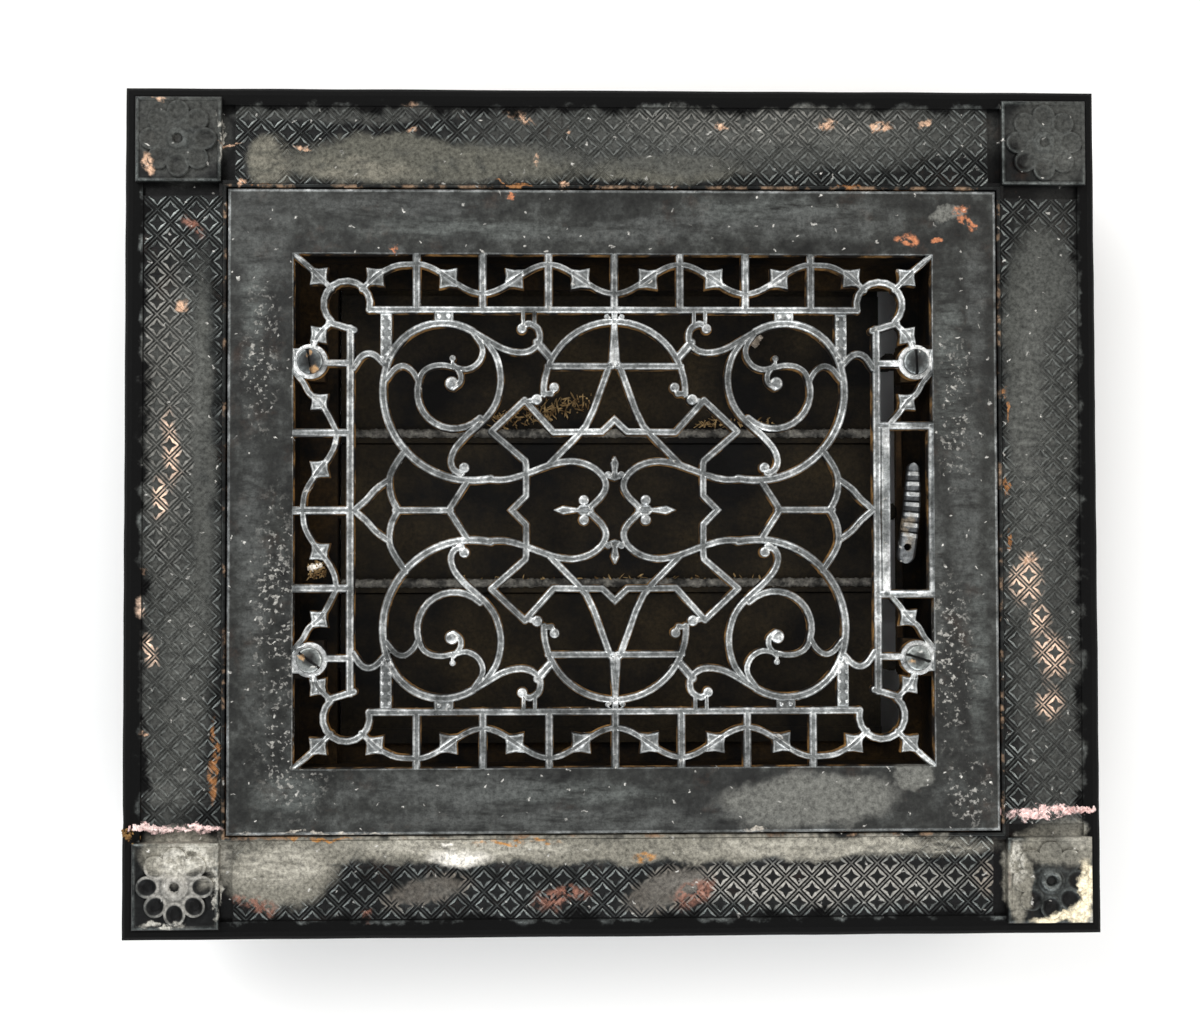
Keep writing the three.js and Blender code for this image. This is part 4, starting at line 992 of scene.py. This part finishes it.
def rosette():
    """One corner block's flower: dished petals with raised rims round a ringed hub."""
    petals, around, rows = 8, 128, 30
    circle, dish = 10.9, 4.5
    outline = []
    for n in range(around):
        a = 2 * math.pi * n / around
        lobe = round(a / (2 * math.pi / petals)) * 2 * math.pi / petals
        across = circle * math.sin(a - lobe)
        outline.append(circle * math.cos(a - lobe) + math.sqrt(max(dish ** 2 - across ** 2, 0.5)))
    verts, faces = [(0, 0, -0.5)], []
    for row in range(1, rows + 1):
        for n in range(around):
            a = 2 * math.pi * n / around
            r = outline[n] * row / rows
            lobe = round(a / (2 * math.pi / petals)) * 2 * math.pi / petals
            along, aside = r * math.cos(a - lobe) - 10.7, r * math.sin(a - lobe)
            e = math.hypot(along / 4.7, aside / 4.2)
            petal = float(np.interp(e, [0, 0.45, 0.72, 0.9, 1.08], [-0.5, -0.75, -0.1, 0.2, 0.0]))
            hub = float(np.interp(r, [0, 1.5, 2.1, 3.0, 3.9, 4.7, 5.4],
                                  [-0.5, -0.35, 1.0, 1.25, 1.05, 0.2, 0.0]))
            z = hub if r < 5.4 and (r < 4.4 or hub > petal) else petal
            verts.append((r * math.cos(a), r * math.sin(a), -0.25 if row == rows else z))
    for n in range(around):
        verts.append((outline[n] * math.cos(2 * math.pi * n / around),
                      outline[n] * math.sin(2 * math.pi * n / around), -1.6))
    for n in range(around):
        m = (n + 1) % around
        faces.append((0, 1 + n, 1 + m))
        for row in range(rows):
            a, b = 1 + row * around, 1 + (row + 1) * around
            faces.append((a + n, b + n, b + m, a + m))
    faces.append(tuple(reversed(range(1 + rows * around, 1 + (rows + 1) * around))))
    return verts, faces


def corner_block(work, relief, sx, sy):
    """Adds a block with its rosette to a bmesh: a soft-edged square with a sunk field."""
    x, y = sx * (REBATE[0] + BLOCK_AT), sy * (REBATE[1] + BLOCK_AT)
    steps = [(BLOCK_HALF, -7.0, 0.0), (BLOCK_HALF, -0.7, 0.3), (BLOCK_HALF - 0.25, -0.2, 0.8),
             (BLOCK_HALF - 0.8, 0.0, 0.9), (BLOCK_HALF - 1.5, 0.0, 0.6), (BLOCK_HALF - 1.9, -0.3, 0.25)]
    loops = []
    for reach, z, worn in steps:
        loops.append([work.verts.new((MM * (x + a * reach), MM * (y + b * reach), MM * (BLOCK_TOP + z)))
                      for a, b in ((1, 1), (-1, 1), (-1, -1), (1, -1))])
        for v in loops[-1]:
            v[relief] = worn
    work.faces.new(loops[0][::-1])
    for lower, upper in zip(loops, loops[1:]):
        for k in range(4):
            work.faces.new((lower[k], lower[(k + 1) % 4], upper[(k + 1) % 4], upper[k]))
    work.faces.new(loops[-1])
    verts, faces = rosette()
    made = []
    for a, b, c in verts:
        buried = filled(x + a, y + b)
        height = c if c < -1 else c * (1 - 0.75 * buried)
        made.append(work.verts.new((MM * (x + a), MM * (y + b), MM * (BLOCK_TOP + 1.0 + height))))
        worn = float(np.interp(c, [-0.7, -0.2, 0.1, 1.25], [0.0, 0.2, 0.8, 0.95]))
        made[-1][relief] = worn * (1 - 0.3 * buried)
    for f in faces:
        work.faces.new([made[n] for n in f])


# Sooted iron: black in the hollows, dark grey where the diamonds are rubbed, under films of grey
# and cream paint, ochre dirt, and pink and white chips of plaster. The outer edge is painted near
# black as shade and the inner fillet is darkened as painted shade; a glare on the lower bar and the
# rims of the lower left rosette are painted highlights
border_iron = weathered_iron(
    "cast iron, sooted lattice",
    [(0.0, "#060606"), (0.3, "#0F1010"), (0.6, "#212322"), (0.85, "#3A3D3C"), (1.0, "#626664")],
    [("#56554D", "dense", 0.9, 0.4, [
        (-73, 138.5, 78, 10.5, 0), (-88, 143, 34, 9, 0), (20, 137, 40, 7, 0), (-139, 139, 9, 12, 0)]),
     ("#77746A", "dense", 0.95, 0.35, [
         (-15, -133.2, 172, 7.6, 0), (-132, -143, 26, 15, 8), (-172, -134, 18, 12, 0),
         (178, -133, 20, 11, 0),
         (160, -148, 6, 20, 0)]),
     ("#7B776B", "strokes", 0.6, 0.6, [(-137, 139, 12, 12, 0), (-100, 136, 30, 6, 0)]),
     ("#A8A498", "strokes", 0.8, 0.6, [
         (-158, -138, 10, 12, 0), (-60, -133, 60, 6, 0), (90, -134, 80, 6, 0), (-132, -140, 26, 10, 8),
         (-172, -138, 14, 11, 0), (185, -130, 14, 8, 0)]),
     ("#484945", "dense", 0.75, 0.6, [(172, 92, 14, 28, 0), (163, 62, 9, 66, 0), (-163, 30, 6, 90, 0)]),
     ("#7A7268", "proud", 0.9, 0.5, [
         (-75, -150, 22, 8, 10), (22, -150, 26, 10, 20), (150, -146, 10, 8, 0)]),
     # Pale grey on the proud parts; the last spot, on the lower left block, is a painted highlight on the
     # rosette's rims.
     ("#9D9A93", "proud", 0.85, 0.6, [
         (60, 155, 76, 11, 0), (-178, 40, 14, 80, 0), (80, -148, 80, 11, 0), (-172, -147.5, 19, 19, 0)]),
     ("#444542", "dense", 0.72, 0.3, [
         (50, 152, 125, 20, 0), (-176, -20, 22, 120, 0), (177, -10, 24, 150, 0), (178, 150, 22, 22, 0),
         (-172, 150, 22, 22, 0), (-110, 162, 60, 9, 0)]),
     ("#5F605C", "strokes", 0.5, 0.7, [
         (-168, 60, 10, 60, 0), (-170, -60, 12, 60, 0), (168, 20, 12, 110, 0), (60, 148, 90, 10, 0),
         (180, 143, 12, 9, 0), (-172, -108, 20, 14, 0)]),
     ("#96683F", "crumbs", 0.85, 0.5, [
         (-158.6, -98, 1.8, 21, 0), (157.0, 42, 1.0, 8, 0), (157.0, -12, 1.0, 6, 0), (157.2, 8, 1.0, 5, 0),
         (-40, 129.5, 9, 0.9, 0), (96, 129.5, 7, 0.9, 0), (-141, 129.5, 6, 0.9, 0)]),
     ("#8A6152", "crumbs", 0.8, 0.6, [
         (-22, -153, 14, 5, 12), (32, -151, 12, 6, 30), (-142, -155, 11, 3.4, -10), (-98, -160, 2, 6, 0),
         (65, -168.5, 5, 2.5, 0), (-166, 112, 7, 3, -40)]),
     # A painted highlight: a soft near-white glare on the lower bar, laid on as a coat.
     ("#E4E0D7", "dense", 0.95, 0.8, [(-61, -137, 15, 5, 0), (-66, -131.5, 3, 1.4, 0)]),
     ("#A8763C", "crumbs", 0.85, 0.6, [
         (-40, -130.3, 22, 1.2, 0), (11, -137, 6, 2.4, 0), (-120, -129.6, 22, 0.9, 0)]),
     ("#C9A68B", "crumbs", 0.95, 0.6, [
         (-83, 163, 5, 2, -10), (-62, 163, 3, 1.4, 0), (-38, 157.5, 8, 2.6, -25), (-80, 151.5, 3, 1.6, 20),
         (-124, 144.5, 4, 1.4, -15), (-106, 128.5, 2, 1.4, 0), (-18, 152.5, 2.6, 1.6, 30),
         (43, 154, 3.4, 1.6, 15),
         (86, 155, 4, 4, 40), (107, 154, 6, 1.8, 5), (126, 156, 3.4, 2, 20), (-185, 137.5, 2.6, 6, 20),
         (-180, 164, 4, 1.2, -10), (-154, 146.6, 6, 0.7, 0), (-172, 82, 3, 2.4, 0), (-30, 139, 1.6, 3, 10),
         (-190, -92, 4, 2, 10), (-187, -25, 3, 3, 0), (166, -20, 3, 3, 0), (-186, -88, 3, 2, 0),
         (-148, 131, 2, 1.6, 0), (-20, 131, 2, 1.4, 0)]),
     ("#DDBFA8", "proud", 1.0, 0.7, [
         (165, -28, 8, 13, 0), (170, -44, 6, 7, 0), (175, -58, 9, 13, 10), (174, -78, 7, 9, 0),
         (-176, 24, 4, 19, 4), (-180, 5, 4, 10, 0), (-190, -38, 4, 13, -5), (-184, -55, 4, 9, 10)]),
     ("#E9DDC0", "dense", 0.95, 0.5, [
         (187.5, -150, 3.6, 13, 4), (176, -162, 12, 3.2, 8), (186, -160, 5, 5, 0)]),
     ("#B9B6AC", "crumbs", 0.85, 0.6, [
         (-168, -137, 15, 8, 0), (-157, -150, 1.6, 14, 0), (-178, -162, 12, 1.6, 0), (160, -140, 4, 12, 0),
         (192, -164, 5, 5, 0), (-156.5, 148, 1.0, 12, 0)]),
     ("#E8C9C4", "crumbs", 1.0, 0.3, [(-174, -124.6, 23, 2.4, -1), (174, -120.8, 20, 2.4, 1)]),
     ("#B7935B", "crumbs", 1.0, 0.4, [(-193, -128, 5, 4.5, 0)])],
    0.3, 0.15, seam=REBATE, soot_and_edge_shade=(REBATE[0], REBATE[1], 30.0, 34.5, RIM_TOP))
work = bmesh.new()
work.from_mesh(body_mesh)
relief = work.verts.layers.float.new("relief")
for v in work.verts:
    d = max(abs(v.co.x) / MM - REBATE[0], abs(v.co.y) / MM - REBATE[1])
    height = v.co.z / MM - RIM_TOP + fall(max(d, 0))
    # Past the shoulder the relief is 0, so the steep outer edge takes the blackest tone: painted shade.
    v[relief] = min(1.0, max(0.0, 1 + height / RELIEF)) if d < SHOULDER + 1 else 0.0
    # Painted shade: the inner fillet is darkened, for the shade in the gap between the face's plate and the
    # lattice.
    if d < FILLET:
        v[relief] *= 0.35
for axis in (0, 1):
    mesh = lattice(REBATE[axis] - 3.4)
    for sign in (-1, 1):
        start = len(work.verts)
        work.from_mesh(mesh)
        work.verts.ensure_lookup_table()
        middle = FILLET + 0.35 + LATTICE_WIDE / 2
        for v in work.verts[start:]:
            u, d = v.co.x / MM, v.co.y / MM + middle
            z = v.co.z / MM
            place = [0, 0]
            place[axis] = u * sign * (1 if axis == 0 else -1)
            place[1 - axis] = sign * (REBATE[1 - axis] + d)
            buried = filled(*place)
            v[relief] = min(1.0, max(0.0, 1 + z / RELIEF)) * (1 - buried) + 0.6 * buried
            if z > -0.8:
                z *= 1 - 0.85 * buried
            v.co = (place[0] * MM, place[1] * MM, MM * (z + RIM_TOP - 0.02 - fall(d)))
for sx in (-1, 1):
    for sy in (-1, 1):
        corner_block(work, relief, sx, sy)
bmesh.ops.recalc_face_normals(work, faces=work.faces)
mesh = bpy.data.meshes.new("border")
work.to_mesh(mesh)
work.free()
border = placed("border", mesh, border_iron)
bpy.data.objects.remove(cell)
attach(border, "root")
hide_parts("border_frame")


# The valve box: the iron walls under the face with the louvers' bearings. They never see a brush:
# brown with rust and house dust.
def dusty_iron(name, deep, light, per_metre, roughness=0.85):
    """Rust under settled dust, for iron inside the duct, with so many clouds to the metre."""
    material, tree, shader = new_material(name)
    where = add(tree, "ShaderNodeTexCoord", None, "Object")
    cloud = add(tree, "ShaderNodeTexNoise", {
        "Vector": where, "Scale": per_metre, "Detail": 8.0, "Roughness": 0.66})
    # The dust's grit is drawn at 1.7 mm, coarser than real, so that it shows
    grit = add(tree, "ShaderNodeTexNoise", {
        "Vector": where, "Scale": 600.0, "Detail": 4.0, "Roughness": 0.7})
    colour = tinted(add(tree, "ShaderNodeValToRGB", {"Fac": cloud}), [(0.4, deep), (0.68, light)])
    speckle = add(tree, "ShaderNodeMapRange", {
        "Value": grit, "From Min": 0.35, "From Max": 0.7, "To Min": 0.55, "To Max": 1.6})
    colour = add(tree, "ShaderNodeVectorMath", {0: colour, "Scale": speckle}, operation="SCALE")
    tree.links.new(colour, shader.inputs["Base Color"])
    shader.inputs["Roughness"].default_value = roughness
    shader.inputs["Specular IOR Level"].default_value = 0.25
    bump = add(tree, "ShaderNodeBump", {"Height": grit, "Strength": 0.8, "Distance": 0.35 * MM})
    tree.links.new(bump, shader.inputs["Normal"])
    return material


# Rust and soot: black-brown and matt, mottled at 22 mm
box_iron = dusty_iron("cast iron, rusted duct side", "#050403", "#35260F", 45.0)
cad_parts["valve_box"].material_slots[0].material = box_iron


# The louvers: three iron blades that lap like shingles, with a rolled lip where one lies on the
# next. Dust and soot have caked on them, lightest along the lips where it was knocked off.
# Soot on iron: nearly black, with broad brown drifts of 38 mm; the lips are a pale grey crust
# broken up at 5 mm
louver_iron = dusty_iron("cast iron, sooty louvers", "#060504", "#2C2415", 26.0)
for name in ("louver_upper", "louver_middle", "louver_lower"):
    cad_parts[name].material_slots[0].material = louver_iron
lip_iron = dusty_iron("cast iron, crusted lips", "#2C2B28", "#8B8880", 210.0, 0.6)
LOUVER_PITCH = 62.0
LIP_TOP = 34.9
LIP_SPAN = 112.0
LIP_INSET = 1.9
LIP_HALF_WIDE, LIP_HALF_HIGH = 1.75, 1.15


def lip_bead(y, seed):
    """A rolled, crusted bead along the lip of the louver whose pins are at y."""
    crust = random.Random(seed)
    stations, around = 260, 9
    middle = y - LOUVER_PITCH / 2 + LIP_INSET
    verts = []
    for n in range(stations + 1):
        x = LIP_SPAN * (2 * n / stations - 1)
        lump = crust.uniform(0.85, 1.2)
        for k in range(around):
            a = 2 * math.pi * k / around
            rough = lump * crust.uniform(0.9, 1.12)
            end = 0.3 if n in (0, stations) else 1.0
            verts.append((x * MM, (middle + LIP_HALF_WIDE * math.cos(a) * rough * end) * MM,
                          (LIP_TOP + LIP_HALF_HIGH * math.sin(a) * rough * end) * MM))
    mesh = outward(mesh_of("lip_bead", verts, tube(stations, around, ends=True)))
    mesh.shade_smooth()
    return mesh


for body, y, seed in (("upper_louver", LOUVER_PITCH, 11), ("middle_louver", 0.0, 12)):
    bead = placed(f"{body}_lip", lip_bead(y, seed), lip_iron)
    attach(bead, body)


# The link bar: a narrow iron bar under the lever that joins the three cranks. Nothing but dust
# ever touches it, so it is a matt yellow-brown, mottled at 17 mm.
link_iron = dusty_iron("cast iron, dusty link", "#0E0A06", "#46331D", 60.0)
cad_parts["link_bar"].material_slots[0].material = link_iron


# The thumb lever: a small iron casting riveted on the link bar through the hole at its lower end.
# A thumb pushes on the steps along its top, which wear grey while dirt stays between them.
lever_low, lever_high = corners_mm("thumb_lever")
LEVER_LINE = [(119.0, 15.04), (118.6, 4.06), (117.61, -6.92), (116.0, -17.9)]
LEVER_END = 3.6
LEVER_BODY_TOP = lever_high[2] - 0.7
LEVER_STEP = 4.1
STEPS_END = 26.2
LEVER_HOLE = 1.4
HOLE_FROM_END = 3.0


def thumb_grip():
    """The lever's mesh, with its steps, its rounded ends and the rivet's hole."""
    line = [Vector(p) for p in spline(60, *LEVER_LINE)]
    length = sum((b - a).length for a, b in zip(line, line[1:]))
    stations, across = 190, 17
    verts, worn = [], []
    for n in range(stations + 1):
        s = -LEVER_END + (length + 2 * LEVER_END) * n / stations
        left, k = min(max(s, 0.0), length - 1e-6), 0
        while left > (line[k + 1] - line[k]).length:
            left -= (line[k + 1] - line[k]).length
            k += 1
        along = (line[k + 1] - line[k]).normalized()
        at = line[k] + along * (left + min(s, 0.0) + max(s - length, 0.0))
        aside = Vector((-along.y, along.x))
        half = float(np.interp(s, [0, 9, 22, length], [2.5, 3.3, 3.45, 3.6]))
        from_end = min((s + LEVER_END) / 2.6, (length + LEVER_END - s) / LEVER_END, 1.0)
        half *= math.sqrt(max(1 - (1 - from_end) ** 2, 0.0004))
        share = ((s + 0.4) % LEVER_STEP) / LEVER_STEP
        step = float(np.interp(share, [0, 0.1, 0.46, 0.56, 0.9, 1], [-0.5, 0.5, 0.62, 0.1, 0.05, -0.5]))
        if s < -0.4 or s > STEPS_END:
            step = 0.25
        for j in range(across + 2):
            u = min(max(2 * (j - 1) / (across - 1) - 1, -1), 1)
            low = j in (0, across + 1)
            crown = -0.75 * max(0.0, abs(u) - 0.72) / 0.28 - 0.12 * u * u
            place = at + aside * (half * u)
            z = lever_low[2] if low else LEVER_BODY_TOP + step + crown
            verts.append((place.x * MM, place.y * MM, MM * z))
            worn.append(0.0 if low else float(
                np.interp(step + crown, [-0.5, 0.0, 0.15, 0.5], [0.0, 0.35, 0.5, 0.85])))
    faces = tube(stations, across + 2, ends=True)
    grip = placed("thumb_grip", outward(mesh_of("thumb_grip", verts, faces, worn)))
    drill_mesh = bpy.data.meshes.new("drill")
    work = bmesh.new()
    bmesh.ops.create_cone(work, cap_ends=True, segments=28, radius1=LEVER_HOLE * MM,
                          radius2=LEVER_HOLE * MM, depth=8 * MM)
    end = line[-1] - (line[-1] - line[-2]).normalized() * HOLE_FROM_END
    bmesh.ops.translate(work, verts=work.verts, vec=(end.x * MM, end.y * MM, LEVER_BODY_TOP * MM))
    work.to_mesh(drill_mesh)
    work.free()
    return cut_out(grip, [placed("drill", drill_mesh)])


# Polished iron: a grey gleam on the steps, black dirt between them and a little dust
lever_iron = weathered_iron(
    "cast iron, polished by thumbs",
    [(0.0, "#060606"), (0.35, "#26282A"), (0.55, "#55585A"), (0.8, "#8E9090"), (1.0, "#B4B6B5")],
    [("#7A6E5C", "crumbs", 0.6, 0.6, [(117, -8, 3, 10, 0)])], 0.3, 0.3)
lever = placed("thumb_grip", thumb_grip(), lever_iron)
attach(lever, "shutter_link")
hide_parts("thumb_lever")


# The screws: four slotted steel screws with low, soft-edged heads, turned as each was left. The
# lower ones are wiped cleaner than the upper ones.
def slotted_screw(node, degrees, width):
    """A screw turned on the lathe, its slot cut through the head at an angle."""
    low, high = corners_mm(node)
    x, y = (low[0] + high[0]) / 2, (low[1] + high[1]) / 2
    head = (high[0] - low[0]) / 2
    profile = [
        # radius, height, wear
        (0.0, low[2], 0), (1.9, low[2], 0), (2.2, low[2] + 0.4, 0), (2.2, high[2] - 2.2, 0),
        (head - 0.4, high[2] - 2.2, 0.1), (head - 0.05, high[2] - 1.9, 0.2), (head, high[2] - 1.3, 0.5),
        (head - 0.12, high[2] - 0.75, 0.85), (head - 0.4, high[2] - 0.4, 0.95),
        (head - 0.9, high[2] - 0.2, 0.7),
        (head - 2.4, high[2] - 0.06, 0.5), (0.0, high[2], 0.5),
    ]
    around = 48
    verts, faces, worn = [], [], []
    for radius, z, wear in profile:
        count = around if radius else 1
        for n in range(count):
            a = 2 * math.pi * n / around
            verts.append((MM * (x + radius * math.cos(a)), MM * (y + radius * math.sin(a)), MM * z))
            worn.append(wear)
    for n in range(around):
        m = (n + 1) % around
        faces.append((0, 1 + m, 1 + n))
        for row in range(len(profile) - 3):
            a = 1 + row * around
            faces.append((a + n, a + m, a + around + m, a + around + n))
        faces.append((len(verts) - 1, len(verts) - 1 - around + n, len(verts) - 1 - around + m))
    blank = placed(node, mesh_of(node, verts, faces, worn))
    saw_mesh = block_mesh("saw", (-head - 1, -width / 2, -1.1), (head + 1, width / 2, 1.0))
    saw_mesh.transform(Euler((0, 0, math.radians(degrees))).to_matrix().to_4x4())
    saw_mesh.transform(Matrix.Translation((x * MM, y * MM, high[2] * MM)))
    return outward(cut_out(blank, [placed("saw", saw_mesh)]))


# Steel gone dull: dark grey, with rust in the slot. The wiped screws are a paler grey
dark_steel = weathered_iron(
    "steel, dulled screw heads",
    [(0.0, "#060606"), (0.4, "#202222"), (0.6, "#383B3B"), (0.85, "#5B5F5F"), (1.0, "#8B8F8F")],
    [("#9C7B56", "crumbs", 0.9, 0.6, [(-119, 55.5, 2.4, 2, 0), (-121, 62.5, 1.6, 1.6, 0)])], 0.3, 0.3)
pale_steel = weathered_iron(
    "steel, wiped screw heads",
    [(0.0, "#0B0B0A"), (0.4, "#454846"), (0.6, "#6E7270"), (0.85, "#8C908E"), (1.0, "#A9ACAA")],
    [("#A98A66", "crumbs", 0.9, 0.6, [(-123, -57.5, 2, 1.2, 30), (118, -61, 2, 1.6, 0)])], 0.3, 0.3)
for node, degrees, width, steel in (
        ("screw_upper_left", 100, 0.9, dark_steel), ("screw_upper_right", 92, 0.9, dark_steel),
        ("screw_lower_left", -37, 0.8, pale_steel), ("screw_lower_right", -17.5, 0.8, pale_steel)):
    screw = placed(f"{node}_turned", slotted_screw(node, degrees, width), steel)
    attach(screw, "root")
    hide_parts(node)


# What has settled on the register: old plaster pressed into the seams above the lower blocks, a
# wad of fibres on the left vine, fluff along the face's seam, and grit lying on the louvers.
crumb_mesh = bpy.data.meshes.new("crumb")
work = bmesh.new()
bmesh.ops.create_icosphere(work, subdivisions=2, radius=1.0)
shaper = random.Random(7)
for v in work.verts:
    v.co *= shaper.uniform(0.72, 1.18)
work.to_mesh(crumb_mesh)
work.free()
crumb = placed("crumb", crumb_mesh)

# The tree strews crumbs about a straight line, each turned and sized at random
crumb_tree, crumb_sockets, given = new_tree(
    "strewn_crumbs", Count="Int", Start="Vector", End="Vector", Spread="Vector", Turn="Vector",
    Smallest="Vector", Largest="Vector", Seed="Int")
draws = [
    add(crumb_tree, "FunctionNodeRandomValue", {
        0: low, 1: high,
        "Seed": add(crumb_tree, "ShaderNodeMath", {0: given["Seed"], 1: float(n)}, operation="ADD")},
        data_type="FLOAT_VECTOR")
    for n, (low, high) in enumerate((
        ((0, 0, 0), (1, 1, 1)), ((-1, -1, -1), (1, 1, 1)), ((0, 0, 0), given["Turn"]),
        (given["Smallest"], given["Largest"])))]
share = add(crumb_tree, "ShaderNodeSeparateXYZ", {0: draws[0]}, "X")
along = add(crumb_tree, "ShaderNodeMix", {"Factor": share, 4: given["Start"], 5: given["End"]}, 1,
            data_type="VECTOR")
place = add(crumb_tree, "ShaderNodeVectorMath", {0: draws[1], 1: given["Spread"], 2: along},
            operation="MULTIPLY_ADD")
points = add(crumb_tree, "GeometryNodePoints", {"Count": given["Count"], "Position": place})
end_tree(crumb_tree, given, points, {"Rotation": draws[2], "Scale": draws[3]})

# Crumbs are matt and mottled at 5 to 7 mm: pink lime plaster, ochre plaster, straw-brown fibres
# and plaster that has stayed nearly white
plaster = dusty_iron("old lime plaster, pink", "#C9A09A", "#F6E8E2", 160.0, 0.9)
ochre_crust = dusty_iron("crust of ochre plaster", "#5E4324", "#B08A55", 180.0, 0.9)
fibres = dusty_iron("dry fibres and grit", "#5A4428", "#B59A6C", 200.0, 0.9)
white_grit = dusty_iron("crumbs of white plaster", "#9B8F80", "#E8E2D6", 150.0, 0.9)
UPRIGHT, ANY_WAY = (0, 0, 6.28), (6.28, 6.28, 6.28)
STREWN = [
    # name, body, slot, finish, count, start, end, spread, turn, smallest, largest
    ("seam_plaster_left", "root", "border_iron", plaster, 130, (-191, -124.8, 66.4), (-155, -124.2, 66.6),
     (2, 0.9, 0.3), UPRIGHT, (0.7, 0.5, 0.35), (2.0, 1.1, 0.9)),
    ("seam_plaster_right", "root", "border_iron", plaster, 120, (154.5, -120.5, 67.2), (190, -119.8, 66.4),
     (2, 0.8, 0.3), UPRIGHT, (0.7, 0.4, 0.35), (2.0, 1.0, 0.9)),
    ("seam_crust", "root", "border_iron", ochre_crust, 60, (-193, -127.5, 64.5), (-189, -127.5, 65.5),
     (2.0, 2.4, 0.6), ANY_WAY, (0.5, 0.5, 0.4), (1.2, 1.1, 0.9)),
    ("vine_wad", "root", "face_iron", fibres, 90, (-119.5, -24.5, 66.8), (-115.5, -22.5, 67.5),
     (2.6, 2.6, 1.3), ANY_WAY, (0.3, 0.2, 0.2), (2.2, 0.6, 0.5)),
    ("vine_lump", "root", "face_iron", white_grit, 14, (-120.5, -22.8, 67.6), (-117.5, -22.3, 68.2),
     (1.0, 0.8, 0.4), ANY_WAY, (1.0, 0.9, 0.6), (1.9, 1.6, 1.0)),
    ("upper_louver_grit", "upper_louver", "louver_iron", fibres, 150, (-48, 37.5, 35.2), (-12, 46, 33.9),
     (5, 3.5, 0.2), UPRIGHT, (0.3, 0.15, 0.12), (2.6, 0.5, 0.35)),
    ("upper_louver_fluff", "upper_louver", "louver_iron", fibres, 70, (36, 37, 35.0), (66, 38, 35.0),
     (4, 1.6, 0.2), UPRIGHT, (0.3, 0.15, 0.12), (2.2, 0.5, 0.35)),
    ("upper_louver_lump", "upper_louver", "louver_iron", white_grit, 16, (59.5, 70.5, 35.0),
     (61.5, 73.5, 35.4), (0.9, 0.9, 0.8), ANY_WAY, (1.0, 1.0, 0.8), (2.1, 1.9, 1.4)),
    ("middle_louver_grit", "middle_louver", "louver_iron", fibres, 60, (-60, -27.5, 35.1),
     (60, -27.5, 35.1), (8, 1.5, 0.2), UPRIGHT, (0.3, 0.15, 0.12), (1.8, 0.5, 0.35)),
]
for seed, row in enumerate(STREWN):
    name, body, slot, matter, count, start, end, spread, turn, smallest, largest = row
    sizes = {"Start": start, "End": end, "Spread": spread, "Smallest": smallest, "Largest": largest}
    mesh = grown(name, crumb_tree, crumb_sockets, {
        "Piece": crumb, "Finish": matter, "Count": count, "Seed": 10 * seed,
        "Turn": [float(v) for v in turn],
        **{key: [MM * v for v in vector] for key, vector in sizes.items()}})
    mesh.shade_smooth()
    strewn = placed(name, mesh)
    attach(strewn, body)
bpy.data.objects.remove(crumb)
